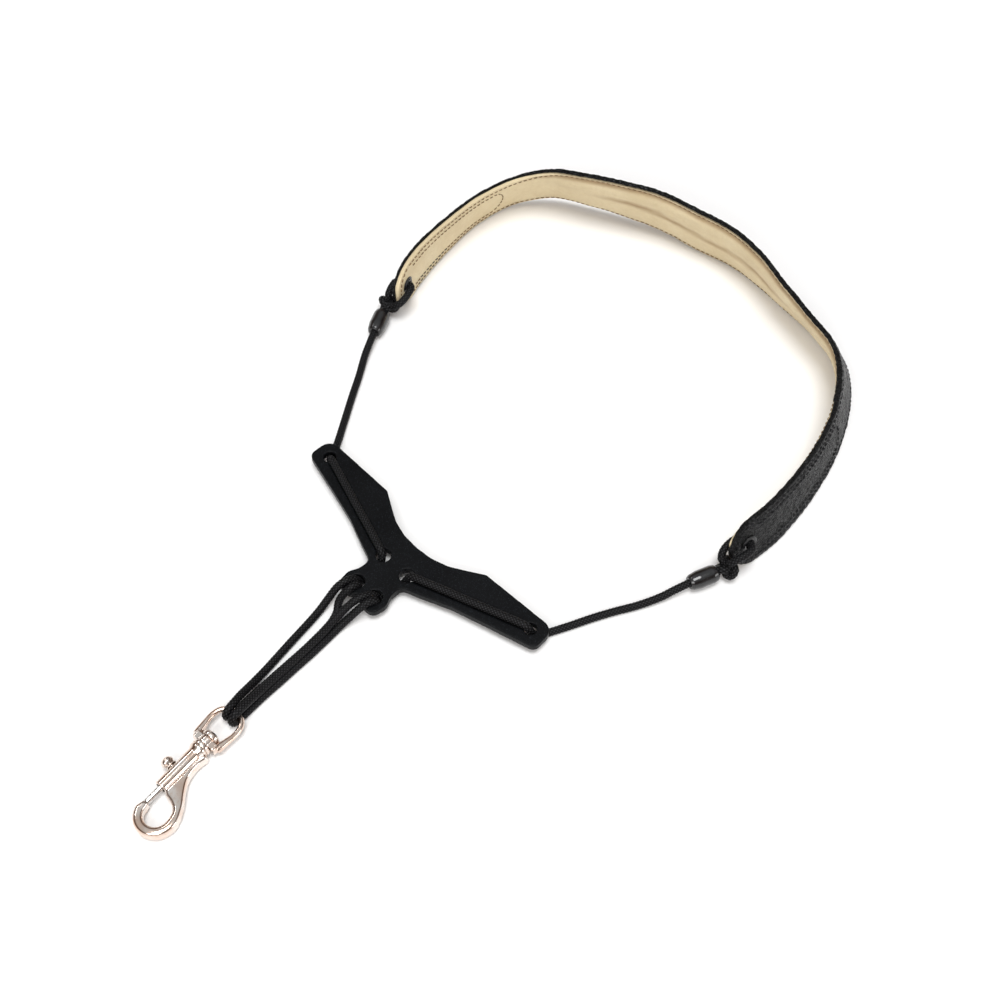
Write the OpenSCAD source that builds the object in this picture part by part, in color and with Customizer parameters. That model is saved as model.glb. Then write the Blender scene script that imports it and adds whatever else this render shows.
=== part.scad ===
// Saxophone neck strap, laid on a table: a padded leather neck band standing on its edge, a cord from each
// end of it to a V-shaped plate, and four strands of the same cord from the plate to a swivel snap hook.
// The plate's own axis runs along Y, with the hook at -Y and the neck band at +Y. Z is up from the table.

/* [Placing] */
// Where the plate's centre line stands in X
place_x = 9; // [-40:1:40]
// Where the plate's lower cord holes stand in Y
place_y = -60; // [-80:1:-40]

/* [Neck pad] */
// Thickness of the black outer leather
leather_t = 1.2; // [0.8:0.1:1.6]
// Thickness of the beige lining leather
lining_t = 0.9; // [0.6:0.1:1.2]
// Thickness of the webbing inside each end
tape_t = 0.9; // [0.6:0.1:1.2]
// Thickness of the foam at the back of the neck
foam_t = 2.8; // [1.5:0.1:4]
// Distance from a pad's tip to its eyelet
eyelet_inset = 8; // [7.5:0.5:10]
// Radius of an eyelet's bore
eyelet_r = 2; // [1.8:0.1:2.2]

/* [Cord] */
// Diameter of the braided cord
cord_d = 3; // [2.6:0.1:3]
// Radius of a knot
knot_r = 4; // [3.6:0.1:4]

/* [Beads] */
// Length of a stopper bead
bead_l = 12.5; // [12:0.5:14]
// Radius of a stopper bead
bead_r = 3.8; // [3.6:0.1:4.2]

/* [Plate] */
// Thickness of the moulded plate
plate_t = 3.5; // [3:0.1:4]
// Height of the plate's back above the table, where it lies on its cords
plate_z = 3.2; // [3.2:0.1:4]
// Radius of the cord hole in each wing tip
tip_hole_r = 2.7; // [2.4:0.1:3]
// Radius of the four cord holes near the middle
hole_r = 3.3; // [3.2:0.1:3.4]

/* [Hook] */
// Thickness of the hook's flat jaw
jaw_t = 5.5; // [5:0.25:5.5]
// Outer radius of the hook's barrel
barrel_r = 2.9; // [2.8:0.1:3.2]
// Radius of the spring bolt where it closes the hook
bolt_r = 1.25; // [1:0.05:1.4]
// Radius of the stirrup's bent wire
wire_r = 1.2; // [1:0.1:1.2]

/* [Hidden] */
$fn = 64;

BLACK = [0.07, 0.07, 0.08];
LEATHER = [0.10, 0.10, 0.11];
BEIGE = [0.86, 0.73, 0.53];
NICKEL = [0.80, 0.76, 0.72];
STEEL = [0.62, 0.63, 0.65];
FOAM = [0.35, 0.35, 0.36];

place = [place_x, place_y, 0];
cord_r = cord_d / 2;

// ---- Curves -------------------------------------------------------------------------------------------

function blend4(a, b, c, d, t) =
    0.5 * (2 * b + (c - a) * t + (2 * a - 5 * b + 4 * c - d) * t * t + (3 * b - a - 3 * c + d) * t * t * t);
// a list of numbers or points read at any place, counted in steps from its first item
function read(list, s) =
    let (last = len(list) - 1, i = min(max(floor(s), 0), last - 1), t = s - i)
    blend4(i > 0 ? list[i - 1] : 2 * list[0] - list[1], list[i], list[i + 1],
           i + 2 <= last ? list[i + 2] : 2 * list[last] - list[last - 1], t);
function unit(v) = v / norm(v);
function smooth(a, b, x) = let (t = min(max((x - a) / (b - a), 0), 1)) t * t * (3 - 2 * t);

// ---- Sweeping -----------------------------------------------------------------------------------------

// a closed skin over rings of points, each ring with the same count and running the same way round
module skin(rings) {
    n = len(rings[0]);
    m = len(rings);
    sides = [for (i = [0 : m - 2], j = [0 : n - 1])
        let (a = i * n + j, b = i * n + (j + 1) % n)
        each [[a, b, b + n], [a, b + n, a + n]]];
    caps = [for (j = [1 : n - 2]) each [[0, j + 1, j], [(m - 1) * n, (m - 1) * n + j, (m - 1) * n + j + 1]]];
    faces = concat(sides, caps);
    polyhedron([for (ring = rings) each ring], [for (f = faces) [f[2], f[1], f[0]]]);
}

// a round tube along a route of points, with `steps` rings between each two of them. Each ring's first
// direction is carried over from the ring before, so that the tube never twists
function carried(dirs, side, i = 0) =
    i >= len(dirs) ? [] : let (s = unit(side - (side * dirs[i]) * dirs[i])) concat([s], carried(dirs, s, i + 1));
module tube(route, r, steps = 1, sides = 8, side = [0.3, 0.2, 1]) {
    count = (len(route) - 1) * steps;
    mids = [for (i = [0 : count]) read(route, i / steps)];
    dirs = [for (i = [0 : count]) unit(mids[min(i + 1, count)] - mids[max(i - 1, 0)])];
    across = carried(dirs, side);
    skin([for (i = [0 : count]) [for (j = [0 : sides - 1])
        let (a = 360 * j / sides) mids[i] + r * (cos(a) * across[i] + sin(a) * cross(dirs[i], across[i]))]]);
}

// ---- The band of the neck pad -------------------------------------------------------------------------

// Where its lower edge runs: X, Y, lift off the table, lean towards the inside in degrees, and width
pad_route = [
    [-102, 111.5, 0, -1, 24], [-109.5, 132.5, 0, 2, 25], [-115, 154.5, 0, 8, 25], [-118, 177, 0, 15, 26],
    [-114.5, 198, 1, 20, 27], [-102.5, 213, 4, 22, 28], [-86, 222.5, 5, 22, 29], [-69, 230, 4, 19, 30],
    [-51.5, 237, 2, 15, 30], [-32.5, 241, 0, 13, 30], [-13, 244.5, 0, 15, 30], [7, 243.5, 0, 18, 30],
    [26, 240.5, 0, 24, 30], [45, 237, 0, 28, 29], [62.5, 230, 0, 26, 28], [76, 215, 0, 18, 27],
    [86.5, 195, 0, 13, 26], [93, 175, 0, 12, 25], [97, 154.5, 0, 12, 25], [98.5, 134, 0, 12, 25],
    [96.3, 112.5, 0, 12, 24]];
pad_last = len(pad_route) - 1;
pad_step = 20;             // about how far apart the route's points are
tip_round = 11 / pad_step; // how far back from a tip its rounding reaches
tape_end = 3.6;            // where the webbing inside an end gives way to foam
edge_lift = 0.3;           // keeps the leaning edge off the table
mid_plane = -0.4;          // the outer leather's inner face, from the band's middle surface

// the band's middle, its direction across the width and its direction towards the lining, at one place
function pad_frame(s) =
    let (p = read(pad_route, s),
         ahead = read(pad_route, min(s + 0.1, pad_last)) - read(pad_route, max(s - 0.1, 0)),
         inward = unit([ahead.y, -ahead.x, 0]), lean = p[3],
         up = inward * sin(lean) + [0, 0, cos(lean)], face = inward * cos(lean) - [0, 0, sin(lean)])
    [[p.x, p.y, p.z + edge_lift] + up * p[4] / 2, up, face, p[4] / 2];
function from_tip(s) = min(s, pad_last - s);
function tip_width(s) = let (t = min(from_tip(s) / tip_round, 1)) sqrt(max(1 - (1 - t) * (1 - t), 0));
function fill(s) = tape_t + (foam_t - tape_t) * smooth(tape_end, tape_end + 2.5, from_tip(s));
// how thick the filling is across the width, from -1 at the lower edge to 1 at the upper
seam = 0.84;
function crown(u) = abs(u) >= seam ? 0 : 1 - pow(abs(u) / seam, 3);

tip_places = [for (a = [20, 40, 65]) tip_round * (1 - cos(a))];
function places(from, to) = [for (i = [0 : round((to - from) * 3)]) from + (to - from) * i / round((to - from) * 3)];
tip_left = concat(tip_places, places(tip_round, tape_end));
tip_right = [for (i = [len(tip_left) - 1 : -1 : 0]) pad_last - tip_left[i]];
foam_places = places(tape_end, pad_last - tape_end);
function tail(list) = [for (i = [1 : len(list) - 1]) list[i]];
all_places = concat(tip_left, tail(foam_places), tail(tip_right));

across_all = [-1, -seam, -0.6, -0.3, 0, 0.3, 0.6, seam, 1];
across_fill = [-seam, -0.6, -0.3, 0, 0.3, 0.6, seam];
function row(s, across, depth) =
    let (f = pad_frame(s)) [for (u = across) f[0] + f[1] * f[3] * tip_width(s) * u + f[2] * depth(s, u)];
function back(list) = [for (i = [len(list) - 1 : -1 : 0]) list[i]];

outer_face = function (s, u) mid_plane - leather_t;
outer_inside = function (s, u) mid_plane;
fill_face = function (s, u) mid_plane + fill(s) * crown(u);
lining_face = function (s, u) mid_plane + lining_t + fill(s) * crown(u);

module band(list, across, low, high) {
    inner = [for (i = [len(across) - 2 : -1 : 1]) across[i]];
    // the filling comes to an edge at its seams, so there the two faces share their points
    closed = high(list[len(list) - 1], across[0]) == low(list[len(list) - 1], across[0]);
    skin([for (s = list) concat(row(s, across, low), row(s, closed ? inner : back(across), high))]);
}

module at_eyelet(s) {
    f = pad_frame(s);
    translate(f[0]) rotate([0, acos(f[2].z), atan2(f[2].y, f[2].x)]) children();
}
eyelet_s = [eyelet_inset / pad_step, pad_last - eyelet_inset / pad_step];
tube_t = 0.4;   // wall of an eyelet
flange_r = 3.9; // rim of an eyelet
flange_t = 0.5;
lie_gap = 0.15; // between a flat rim and the curved leather
module eyelet_bores() {
    for (s = eyelet_s) at_eyelet(s) cylinder(h = 12, r = eyelet_r + tube_t + 0.05, center = true);
}

module pad_outer() color(LEATHER) translate(place) difference() {
    band(all_places, across_all, outer_face, outer_inside);
    eyelet_bores();
}
module pad_lining() color(BEIGE) translate(place) difference() {
    band(all_places, across_all, fill_face, lining_face);
    eyelet_bores();
}
module pad_foam() color(FOAM) translate(place) band(foam_places, across_fill, outer_inside, fill_face);
module end_tape_left() color(BLACK) translate(place) difference() {
    band(tip_left, across_fill, outer_inside, fill_face);
    eyelet_bores();
}
module end_tape_right() color(BLACK) translate(place) difference() {
    band(tip_right, across_fill, outer_inside, fill_face);
    eyelet_bores();
}

outer_z = mid_plane - leather_t - lie_gap;
inner_z = mid_plane + tape_t + lining_t + lie_gap;
module eyelet(s) color(BLACK) translate(place) at_eyelet(s) rotate_extrude()
    polygon([[eyelet_r, outer_z - flange_t], [flange_r, outer_z - flange_t], [flange_r, outer_z],
             [eyelet_r + tube_t, outer_z], [eyelet_r + tube_t, inner_z + flange_t + 0.3],
             [eyelet_r, inner_z + flange_t + 0.3]]);
module eyelet_washer(s) color(BLACK) translate(place) at_eyelet(s) translate([0, 0, inner_z]) rotate_extrude()
    translate([eyelet_r + tube_t + 0.05, 0]) square([flange_r - eyelet_r - tube_t - 0.05, flange_t]);
module eyelet_left() eyelet(eyelet_s[0]);
module eyelet_right() eyelet(eyelet_s[1]);
module eyelet_washer_left() eyelet_washer(eyelet_s[0]);
module eyelet_washer_right() eyelet_washer(eyelet_s[1]);

// ---- Knots, beads and side cords ----------------------------------------------------------------------

bead_z = 4.3;
bead_at = [[-101.8, 100.1, bead_z], [91, 100.4, bead_z]];
bead_dir = [unit([0.47, -0.883, 0]), unit([-0.35, -0.937, 0])]; // the way each bead slides
knot_at = [[-106.2, 110.2, 5], [95, 110.6, 5]];

module knot(i) color(BLACK) translate(place + knot_at[i]) sphere(r = knot_r);
module knot_left() knot(0);
module knot_right() knot(1);

// the cord that goes from the knot up one face of the pad, through the eyelet and down the other face
eyelet_cord_route = [
    [[-104.8, 110.6, 6.2], [-101.9, 109.6, 7.6], [-99.7, 111.4, 9.6], [-99.4, 114.8, 11.1], [-100.2, 118.2, 12.1],
     [-101.3, 120.4, 12.6], [-103.4, 120.6, 12.6], [-107.3, 119.3, 12.6], [-108.8, 117.6, 12.4], [-108.2, 114.4, 11.7],
     [-107.2, 111.6, 9.9], [-106.6, 110.9, 7.4]],
    [[93.8, 110.8, 6.4], [91.6, 110.7, 8], [90.3, 113, 9.8], [90.1, 116.4, 10.9], [90.6, 119.8, 11.3],
     [92.2, 121.9, 11.8], [94.6, 121.7, 12.2], [97.3, 121.5, 12.8], [99.2, 119.6, 13.1], [98.9, 116, 12.7],
     [97.8, 112.8, 11.7], [96.5, 110.9, 9.8], [95.6, 110.7, 7.6]]];
module eyelet_cord(i) color(BLACK) translate(place) tube(eyelet_cord_route[i], cord_r, 2);
module eyelet_cord_left() eyelet_cord(0);
module eyelet_cord_right() eyelet_cord(1);

bead_bore_r = 1.65;
module bead(i) color(BLACK) translate(place + bead_at[i]) rotate([0, 90, atan2(bead_dir[i].y, bead_dir[i].x)])
    rotate_extrude() polygon([
        [bead_bore_r, -bead_l / 2], [bead_r * 0.78, -bead_l / 2], [bead_r * 0.9, -bead_l / 2 + 0.5],
        [bead_r, -bead_l / 2 + 2], [bead_r, bead_l / 2 - 4], [bead_r * 0.85, bead_l / 2 - 1],
        [bead_r * 0.7, bead_l / 2], [bead_bore_r, bead_l / 2]]);
module bead_left() bead(0);
module bead_right() bead(1);

under_z = 1.6; // the middle of a cord that lies on the table
side_cord_route = [
    [[-105.1, 106.3, 4.3], [-102, 100.5, 4.3], [-98.7, 94.3, 4.3], [-95.5, 88.3, 3.6], [-92.6, 83, 2.6],
     [-86.5, 74, 1.7], [-80, 64, 1.6], [-73.5, 54.4, 1.6], [-67.4, 45.4, 1.6], [-63, 38.7, 1.6], [-61, 35.7, 1.6]],
    [[93.6, 107.2, 4.3], [91.1, 100.6, 4.3], [88.6, 94, 4.3], [86.4, 87.8, 3.6], [84.3, 82, 2.6],
     [80.2, 73.4, 1.7], [75.6, 65, 1.6], [71.4, 56.4, 1.6], [67.2, 46.8, 1.6], [63.4, 38.8, 1.6], [61.6, 35.6, 1.6]]];
module side_cord(i) color(BLACK) translate(place) tube(side_cord_route[i], cord_r, 1);
module side_cord_left() side_cord(0);
module side_cord_right() side_cord(1);

// ---- Plate --------------------------------------------------------------------------------------------

tip_hole = [59.4, 33.4];
inner_hole = [7, 15.9];
lug_hole = [5.2, 0];
// the right half of the outline, from the middle of the upper edge round to the valley between the lugs,
// as point and corner radius
half_outline = [
    [[0, 28], 0], [[8, 28.6], 0], [[15.5, 30.8], 0], [[23, 35], 0], [[29.4, 38.8], 2.5], [[66, 39.8], 5],
    [[66.7, 28.3], 3.5], [[45, 22.6], 0], [[30, 18.4], 0], [[17, 13.2], 5], [[9, 10.4], 5],
    [[9.4, 4.8], 3], [[11.4, 0.6], 4], [[10.4, -6.4], 5], [[3.6, -6.2], 3], [[0, -3.6], 0]];
// arcs at the corners that have a radius
function corner(a, b, c, r) =
    let (u = unit(a - b), v = unit(c - b), half = acos(max(min(u * v, 1), -1)) / 2,
         back_off = min(r / tan(half), norm(a - b) * 0.48, norm(c - b) * 0.48), real_r = back_off * tan(half),
         m = b + unit(u + v) * real_r / sin(half), p = b + u * back_off, q = b + v * back_off,
         from = atan2(p.y - m.y, p.x - m.x), turn = atan2(q.y - m.y, q.x - m.x) - from,
         short = turn > 180 ? turn - 360 : turn < -180 ? turn + 360 : turn)
    [for (i = [0 : 6]) m + real_r * [cos(from + short * i / 6), sin(from + short * i / 6)]];
function rounded(list) = [for (i = [0 : len(list) - 1]) each
    list[i][1] == 0 ? [list[i][0]] : corner(list[i - 1][0], list[i][0], list[i + 1][0], list[i][1])];
half_points = rounded(half_outline);
mirrored = [for (i = [len(half_points) - 2 : -1 : 1]) [-half_points[i].x, half_points[i].y]];
plate_outline = concat(half_points, mirrored);

groove_r = 1.9;
groove_sink = 0.6; // how far the groove's middle lies above the plate's front
module groove(side) {
    run = [side * (tip_hole.x - inner_hole.x), tip_hole.y - inner_hole.y, 0];
    translate([side * inner_hole.x, inner_hole.y, plate_z + plate_t + groove_sink])
        rotate([0, 90, atan2(run.y, run.x)]) cylinder(h = norm(run), r = groove_r);
}
module v_plate() color(BLACK) translate(place) difference() {
    translate([0, 0, plate_z]) linear_extrude(plate_t) polygon(plate_outline);
    for (side = [-1, 1]) {
        translate([side * tip_hole.x, tip_hole.y, plate_z - 1]) cylinder(h = plate_t + 2, r = tip_hole_r);
        translate([side * inner_hole.x, inner_hole.y, plate_z - 1]) cylinder(h = plate_t + 2, r = hole_r);
        translate([side * lug_hole.x, lug_hole.y, plate_z - 1]) cylinder(h = plate_t + 2, r = hole_r);
        groove(side);
    }
}

// the cord up through a wing's tip hole, along the groove, down the inner hole and back up the lug hole
top_z = 7.6; // the middle of the cord in its groove
function wing_route(side) = [
    [side * 60.4, 34.6, 1.7], [side * 59.4, 33.5, 4.4], [side * 57.4, 32.7, 7.2], [side * 52, 30.9, top_z],
    [side * 43, 27.9, top_z], [side * 33.2, 24.6, top_z], [side * 23.4, 21.4, top_z], [side * 14, 18.2, top_z],
    [side * 9.2, 16.6, 7.1], [side * 7.4, 15.4, 4.6], [side * 7, 12.6, 2], [side * 6.8, 8.4, 1.6],
    [side * 6.6, 4, 1.7], [side * 6.4, 1.6, 3]];
module wing_cord(side) color(BLACK) translate(place) tube(wing_route(side), cord_r, 1);
module wing_cord_left() wing_cord(-1);
module wing_cord_right() wing_cord(1);

// ---- Snap hook ----------------------------------------------------------------------------------------

hook_at = [6.4, -86.1, 4.3]; // where the swivel stands
hook_turn = 6.3;             // how far the hook's axis is turned from -Y towards +X
// drawn with the hook's axis along -Y and its thumb stud towards -X
module on_hook() translate(place + hook_at) rotate([0, 0, hook_turn]) children();
module turned_on_axis() rotate([90, 0, 0]) rotate_extrude() children();

// half of the stirrup's wire, from its base to the top of its bow
stirrup_half = [[5.2, -1.2, 0], [5.9, 3.4, 0], [6.4, 7.6, 0], [5.8, 11.2, 0], [3.6, 13.8, 0], [0, 14.6, 0]];
base_w = 11.4;
base_t = 2.8;
base_h = 4.6;
boss_r = 3.2; // round the rivet
rivet_r = 1.7;
module stirrup() color(NICKEL) on_hook() difference() {
    union() {
        tube(concat(stirrup_half, [for (i = [4 : -1 : 0]) [-stirrup_half[i].x, stirrup_half[i].y, 0]]),
             wire_r, 3, 12);
        translate([-base_w / 2, -base_t, -base_h / 2]) cube([base_w, base_t, base_h]);
        rotate([90, 0, 0]) cylinder(h = base_t, r = boss_r);
    }
    rotate([90, 0, 0]) cylinder(h = 20, r = rivet_r + 0.08, center = true);
}

head_r = 3.8;
head_t = 2.6;
collar_r = 3.9;
collar_t = 1.6;
gap = 0.15; // running gap at the swivel's faces
module swivel_rivet() color(NICKEL) on_hook() turned_on_axis()
    polygon([[0, -gap - head_t], [head_r - 1, -gap - head_t], [head_r, -gap - head_t + 1], [head_r, -gap],
             [rivet_r, -gap], [rivet_r, base_t + gap + collar_t], [0, base_t + gap + collar_t]]);
module swivel_collar() color(NICKEL) on_hook() turned_on_axis()
    polygon([[rivet_r, base_t + gap], [collar_r - 0.4, base_t + gap], [collar_r, base_t + gap + 0.4],
             [collar_r, base_t + gap + collar_t], [rivet_r, base_t + gap + collar_t]]);

barrel_top = base_t + gap + collar_t;
barrel_end = 25.2;
bore_r = 2.1;
bore_top = 6.4;
eye_at = [6.5, -33.7];
eye_r = 4.9;
ring_r = 8.8;
tip_y = 32.4;         // where the bolt meets the ring's tip
jaw_drop = 1.1;       // how much lower the jaw lies than the barrel
// the inner and outer edges of the arm between the barrel and the ring, both from the barrel on
arm_outer = [[2.5, -barrel_top], [5.2, -6], [4.8, -9], [4.9, -13], [6, -17], [8.6, -21], [11.7, -25], [14, -29]];
arm_inner = [[11.1, -31.4], [10.3, -29.4], [8.6, -27.8], [6.4, -26.8], [3.8, -26.2], [2, -25]];
function edge(list) = [for (i = [0 : (len(list) - 1) * 4]) read(list, i / 4)];
ring_arc = [for (a = [15 : -9 : -165]) eye_at + ring_r * [cos(a), sin(a)]];
inner_arc = [for (a = [-160 : 9 : 12]) eye_at + eye_r * [cos(a), sin(a)]];
jaw_outline = concat(edge(arm_outer), ring_arc, [[-1.25, -tip_y], [1.3, -tip_y]], inner_arc, edge(arm_inner));
slot_w = 2.4;
slot_from = 8.6;
slot_to = 17.6;
module hook_body() color(NICKEL) on_hook() difference() {
    union() {
        turned_on_axis() polygon([[0, barrel_top], [3.8, barrel_top], [3.8, barrel_top + 1.2],
            [barrel_r, barrel_top + 5], [barrel_r, barrel_end], [0, barrel_end]]);
        translate([0, 0, -jaw_t / 2 - jaw_drop]) linear_extrude(jaw_t) polygon(jaw_outline);
    }
    rotate([90, 0, 0]) translate([0, 0, bore_top]) cylinder(h = 19.2, r = bore_r);
    // slot for the thumb stud
    translate([-8, -slot_to, -slot_w / 2]) cube([8, slot_to - slot_from, slot_w]);
    // notch that takes the bolt's end
    rotate([90, 0, 0]) translate([0, 0, tip_y - 2]) cylinder(h = 2.6, r = bolt_r + 0.15);
}

piston_from = 15.2;
piston_to = 17.4;
bolt_end = 32.7;
stud_y = 16.3;
module bolt_rod() color(STEEL) on_hook() turned_on_axis()
    polygon([[0, piston_from], [bore_r - 0.06, piston_from], [bore_r - 0.06, piston_to], [bolt_r, piston_to],
             [bolt_r, bolt_end - 0.4], [bolt_r - 0.4, bolt_end], [0, bolt_end]]);
module thumb_stud() color(NICKEL) on_hook() translate([0, -stud_y, 0]) rotate([0, -90, 0]) rotate_extrude()
    polygon([[0, bore_r - 0.06], [1, bore_r - 0.06], [1, 3.4], [1.9, 3.7], [2.5, 4.6], [2.6, 5.5], [2.2, 6.5],
             [1.3, 7.2], [0, 7.4]]);
spring_r = 1.45;
spring_wire = 0.2;
spring_turns = 5;
module bolt_spring() color(STEEL) on_hook() {
    steps = spring_turns * 10;
    length = piston_from - bore_top - 2 * spring_wire - 0.1;
    tube([for (i = [0 : steps]) [spring_r * cos(i * 36), -bore_top - spring_wire - 0.05 - length * i / steps,
          spring_r * sin(i * 36)]], spring_wire, 1, 6, [1, 0, 0.1]);
}

// ---- Cords between the plate and the hook -------------------------------------------------------------

// out of the left lug hole, down to the stirrup, round its bow, back in the bundle with a bight round it,
// down the same hole and across behind the plate
hook_cord_left_route = [
    [-6.4, 1.2, 4.6], [-6.8, -0.9, 7.4], [-7.6, -4.2, 8.5], [-8.4, -8, 7.2], [-8.6, -12.4, 4.2], [-8, -18, 2],
    [-7, -24, 1.6], [-5.9, -31, 1.6], [-4.8, -38, 1.6], [-3.6, -45, 1.6], [-2.4, -52, 1.8], [-1, -59, 3],
    [0.8, -65.6, 5.4], [2.6, -71, 7.2], [3.1, -73.8, 6.7], [3.2, -75, 4.3], [3.2, -73.8, 2], [3, -71, 1.5],
    [2.6, -65, 1.6], [2.2, -58, 1.6], [1.9, -50, 1.6], [1.6, -42, 1.6], [1.2, -34, 1.6], [0.5, -26, 1.6],
    [-0.6, -18.6, 1.7], [-2.4, -13.8, 2.2], [-4.4, -11, 3.8], [-4.6, -8, 6.4], [-3.8, -4.6, 8.3],
    [-3.7, -1.6, 7.6], [-3.9, -0.6, 4.4], [-3, -0.8, 1.9], [0, -1.2, 1.6], [3.2, -1, 1.9]];
// out of the right lug hole, down on the top of the bundle, round the bow and back underneath
hook_cord_right_route = [
    [4.4, 1.4, 4.6], [4, -0.8, 7.4], [2.8, -4, 8.6], [1.6, -8.4, 7.9], [0.8, -13, 6], [1, -18.6, 4.6],
    [1.9, -25, 4.4], [2.6, -32, 4.4], [3.1, -39, 4.4], [3.5, -46, 4.4], [3.9, -53, 4.5], [4.7, -60, 5.2],
    [5.8, -66.4, 6.6], [6.4, -71, 7.2], [6.6, -73.8, 6.7], [6.6, -75, 4.3], [6.6, -73.8, 2], [6.4, -71, 1.5],
    [6, -65, 1.6], [5.5, -58, 1.6], [5.2, -50, 1.6], [4.8, -42, 1.6], [4.5, -34, 1.6], [3.9, -26, 1.6],
    [3.4, -19, 1.9], [3.8, -13.6, 3.6], [5, -9, 6.6], [6, -5, 8.4], [6.8, -1.8, 7.8], [6.9, -0.6, 4.6],
    [6.4, -0.8, 2.6]];
module hook_cord_left() color(BLACK) translate(place) tube(hook_cord_left_route, cord_r, 1);
module hook_cord_right() color(BLACK) translate(place) tube(hook_cord_right_route, cord_r, 1);

pad_outer();
pad_lining();
pad_foam();
end_tape_left();
end_tape_right();
eyelet_left();
eyelet_right();
eyelet_washer_left();
eyelet_washer_right();
eyelet_cord_left();
eyelet_cord_right();
knot_left();
knot_right();
side_cord_left();
side_cord_right();
bead_left();
bead_right();
v_plate();
wing_cord_left();
wing_cord_right();
hook_cord_left();
hook_cord_right();
stirrup();
swivel_rivet();
swivel_collar();
hook_body();
bolt_rod();
thumb_stud();
bolt_spring();
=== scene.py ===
# Saxophone neck strap: a padded leather neck band, braided cords with stopper beads, a V-shaped slide plate
# and a swivel snap hook. Lengths are in millimetres in the plate's own frame until a mesh is made.
import math

import bmesh
import bpy
import numpy as np
from mathutils import Matrix, Vector


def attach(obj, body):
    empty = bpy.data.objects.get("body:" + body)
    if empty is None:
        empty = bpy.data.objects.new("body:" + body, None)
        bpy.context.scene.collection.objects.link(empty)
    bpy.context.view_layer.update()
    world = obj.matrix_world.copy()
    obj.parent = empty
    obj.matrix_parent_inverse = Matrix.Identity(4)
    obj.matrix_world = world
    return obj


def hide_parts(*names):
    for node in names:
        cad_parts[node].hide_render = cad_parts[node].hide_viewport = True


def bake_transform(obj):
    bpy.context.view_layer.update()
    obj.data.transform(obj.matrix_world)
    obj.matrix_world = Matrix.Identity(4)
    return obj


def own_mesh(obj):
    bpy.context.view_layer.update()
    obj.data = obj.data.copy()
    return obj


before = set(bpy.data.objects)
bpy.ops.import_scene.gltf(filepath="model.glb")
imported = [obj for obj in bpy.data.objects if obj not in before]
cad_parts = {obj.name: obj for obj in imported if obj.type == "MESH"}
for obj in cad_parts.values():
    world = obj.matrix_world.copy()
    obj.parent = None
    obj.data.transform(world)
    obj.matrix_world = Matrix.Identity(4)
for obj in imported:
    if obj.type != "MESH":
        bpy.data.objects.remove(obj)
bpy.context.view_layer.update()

MM = 0.001
PLACE = np.array([9.0, -60.0, 0.0])  # where the plate's frame stands on the table
UP = np.array([0.0, 0.0, 1.0])
scene = bpy.context.scene


# ---- Camera ----

view_data = bpy.data.cameras.new("camera")
view_data.lens = 57.6
view_data.sensor_width = 36.0
camera = bpy.data.objects.new("camera", view_data)
camera.location = (0.2852, -0.26057, 0.55095)
camera.rotation_euler = (math.radians(34.952), 0.0, math.radians(44.979))
scene.collection.objects.link(camera)
scene.camera = camera


# ---- Curves and numbers ----

def unit(v):
    v = np.asarray(v, float)
    return v / np.linalg.norm(v)


def read(rows, s):
    """A list of points or numbers read at any place, counted in steps from its first item."""
    rows = np.asarray(rows, float)
    last = len(rows) - 1
    i = min(max(int(math.floor(s)), 0), last - 1)
    t = s - i
    a = rows[i - 1] if i > 0 else 2 * rows[0] - rows[1]
    b, c = rows[i], rows[i + 1]
    d = rows[i + 2] if i + 2 <= last else 2 * rows[last] - rows[last - 1]
    bend, twist = 2 * a - 5 * b + 4 * c - d, 3 * b - a - 3 * c + d
    return 0.5 * (2 * b + (c - a) * t + bend * t * t + twist * t ** 3)


def smooth(a, b, x):
    t = min(max((x - a) / (b - a), 0.0), 1.0)
    return t * t * (3 - 2 * t)


def even_path(route, step):
    """The route's smooth curve as points a step apart."""
    fine = np.array([read(route, s) for s in np.linspace(0, len(route) - 1, (len(route) - 1) * 24 + 1)])
    return spaced(fine, step)


def spaced(points, step):
    run = np.concatenate([[0], np.cumsum(np.linalg.norm(np.diff(points, axis=0), axis=1))])
    count = max(int(round(run[-1] / step)), 2)
    at = np.linspace(0, run[-1], count + 1)
    return np.stack([np.interp(at, run, points[:, k]) for k in range(points.shape[1])], axis=1)


def carried_frames(path, side=(0.3, 0.2, 1.0)):
    """Two directions across a path at each of its points, carried along so that they never twist."""
    dirs = np.gradient(path, axis=0)
    dirs /= np.linalg.norm(dirs, axis=1)[:, None]
    side = np.asarray(side, float)
    out = []
    for d in dirs:
        side = unit(side - side.dot(d) * d)
        out.append((side, np.cross(d, side)))
    return out


def corner(a, b, c, r, steps=8):
    """An arc of radius r in place of the corner b between a and c."""
    u, v = unit(np.subtract(a, b)), unit(np.subtract(c, b))
    half = math.acos(max(min(float(u.dot(v)), 1), -1)) / 2
    if half > math.radians(89.5):
        return [tuple(b)]
    room = [0.48 * np.linalg.norm(np.subtract(end, b)) for end in (a, c)]
    back_off = min(r / math.tan(half), *room)
    real_r = back_off * math.tan(half)
    m = np.asarray(b) + unit(u + v) * real_r / math.sin(half)
    p, q = np.asarray(b) + u * back_off, np.asarray(b) + v * back_off
    start = math.atan2(p[1] - m[1], p[0] - m[0])
    turn = math.atan2(q[1] - m[1], q[0] - m[0]) - start
    turn = turn - 2 * math.pi if turn > math.pi else turn + 2 * math.pi if turn < -math.pi else turn
    angles = [start + turn * i / steps for i in range(steps + 1)]
    return [tuple(m + real_r * np.array([math.cos(angle), math.sin(angle)])) for angle in angles]


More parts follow.
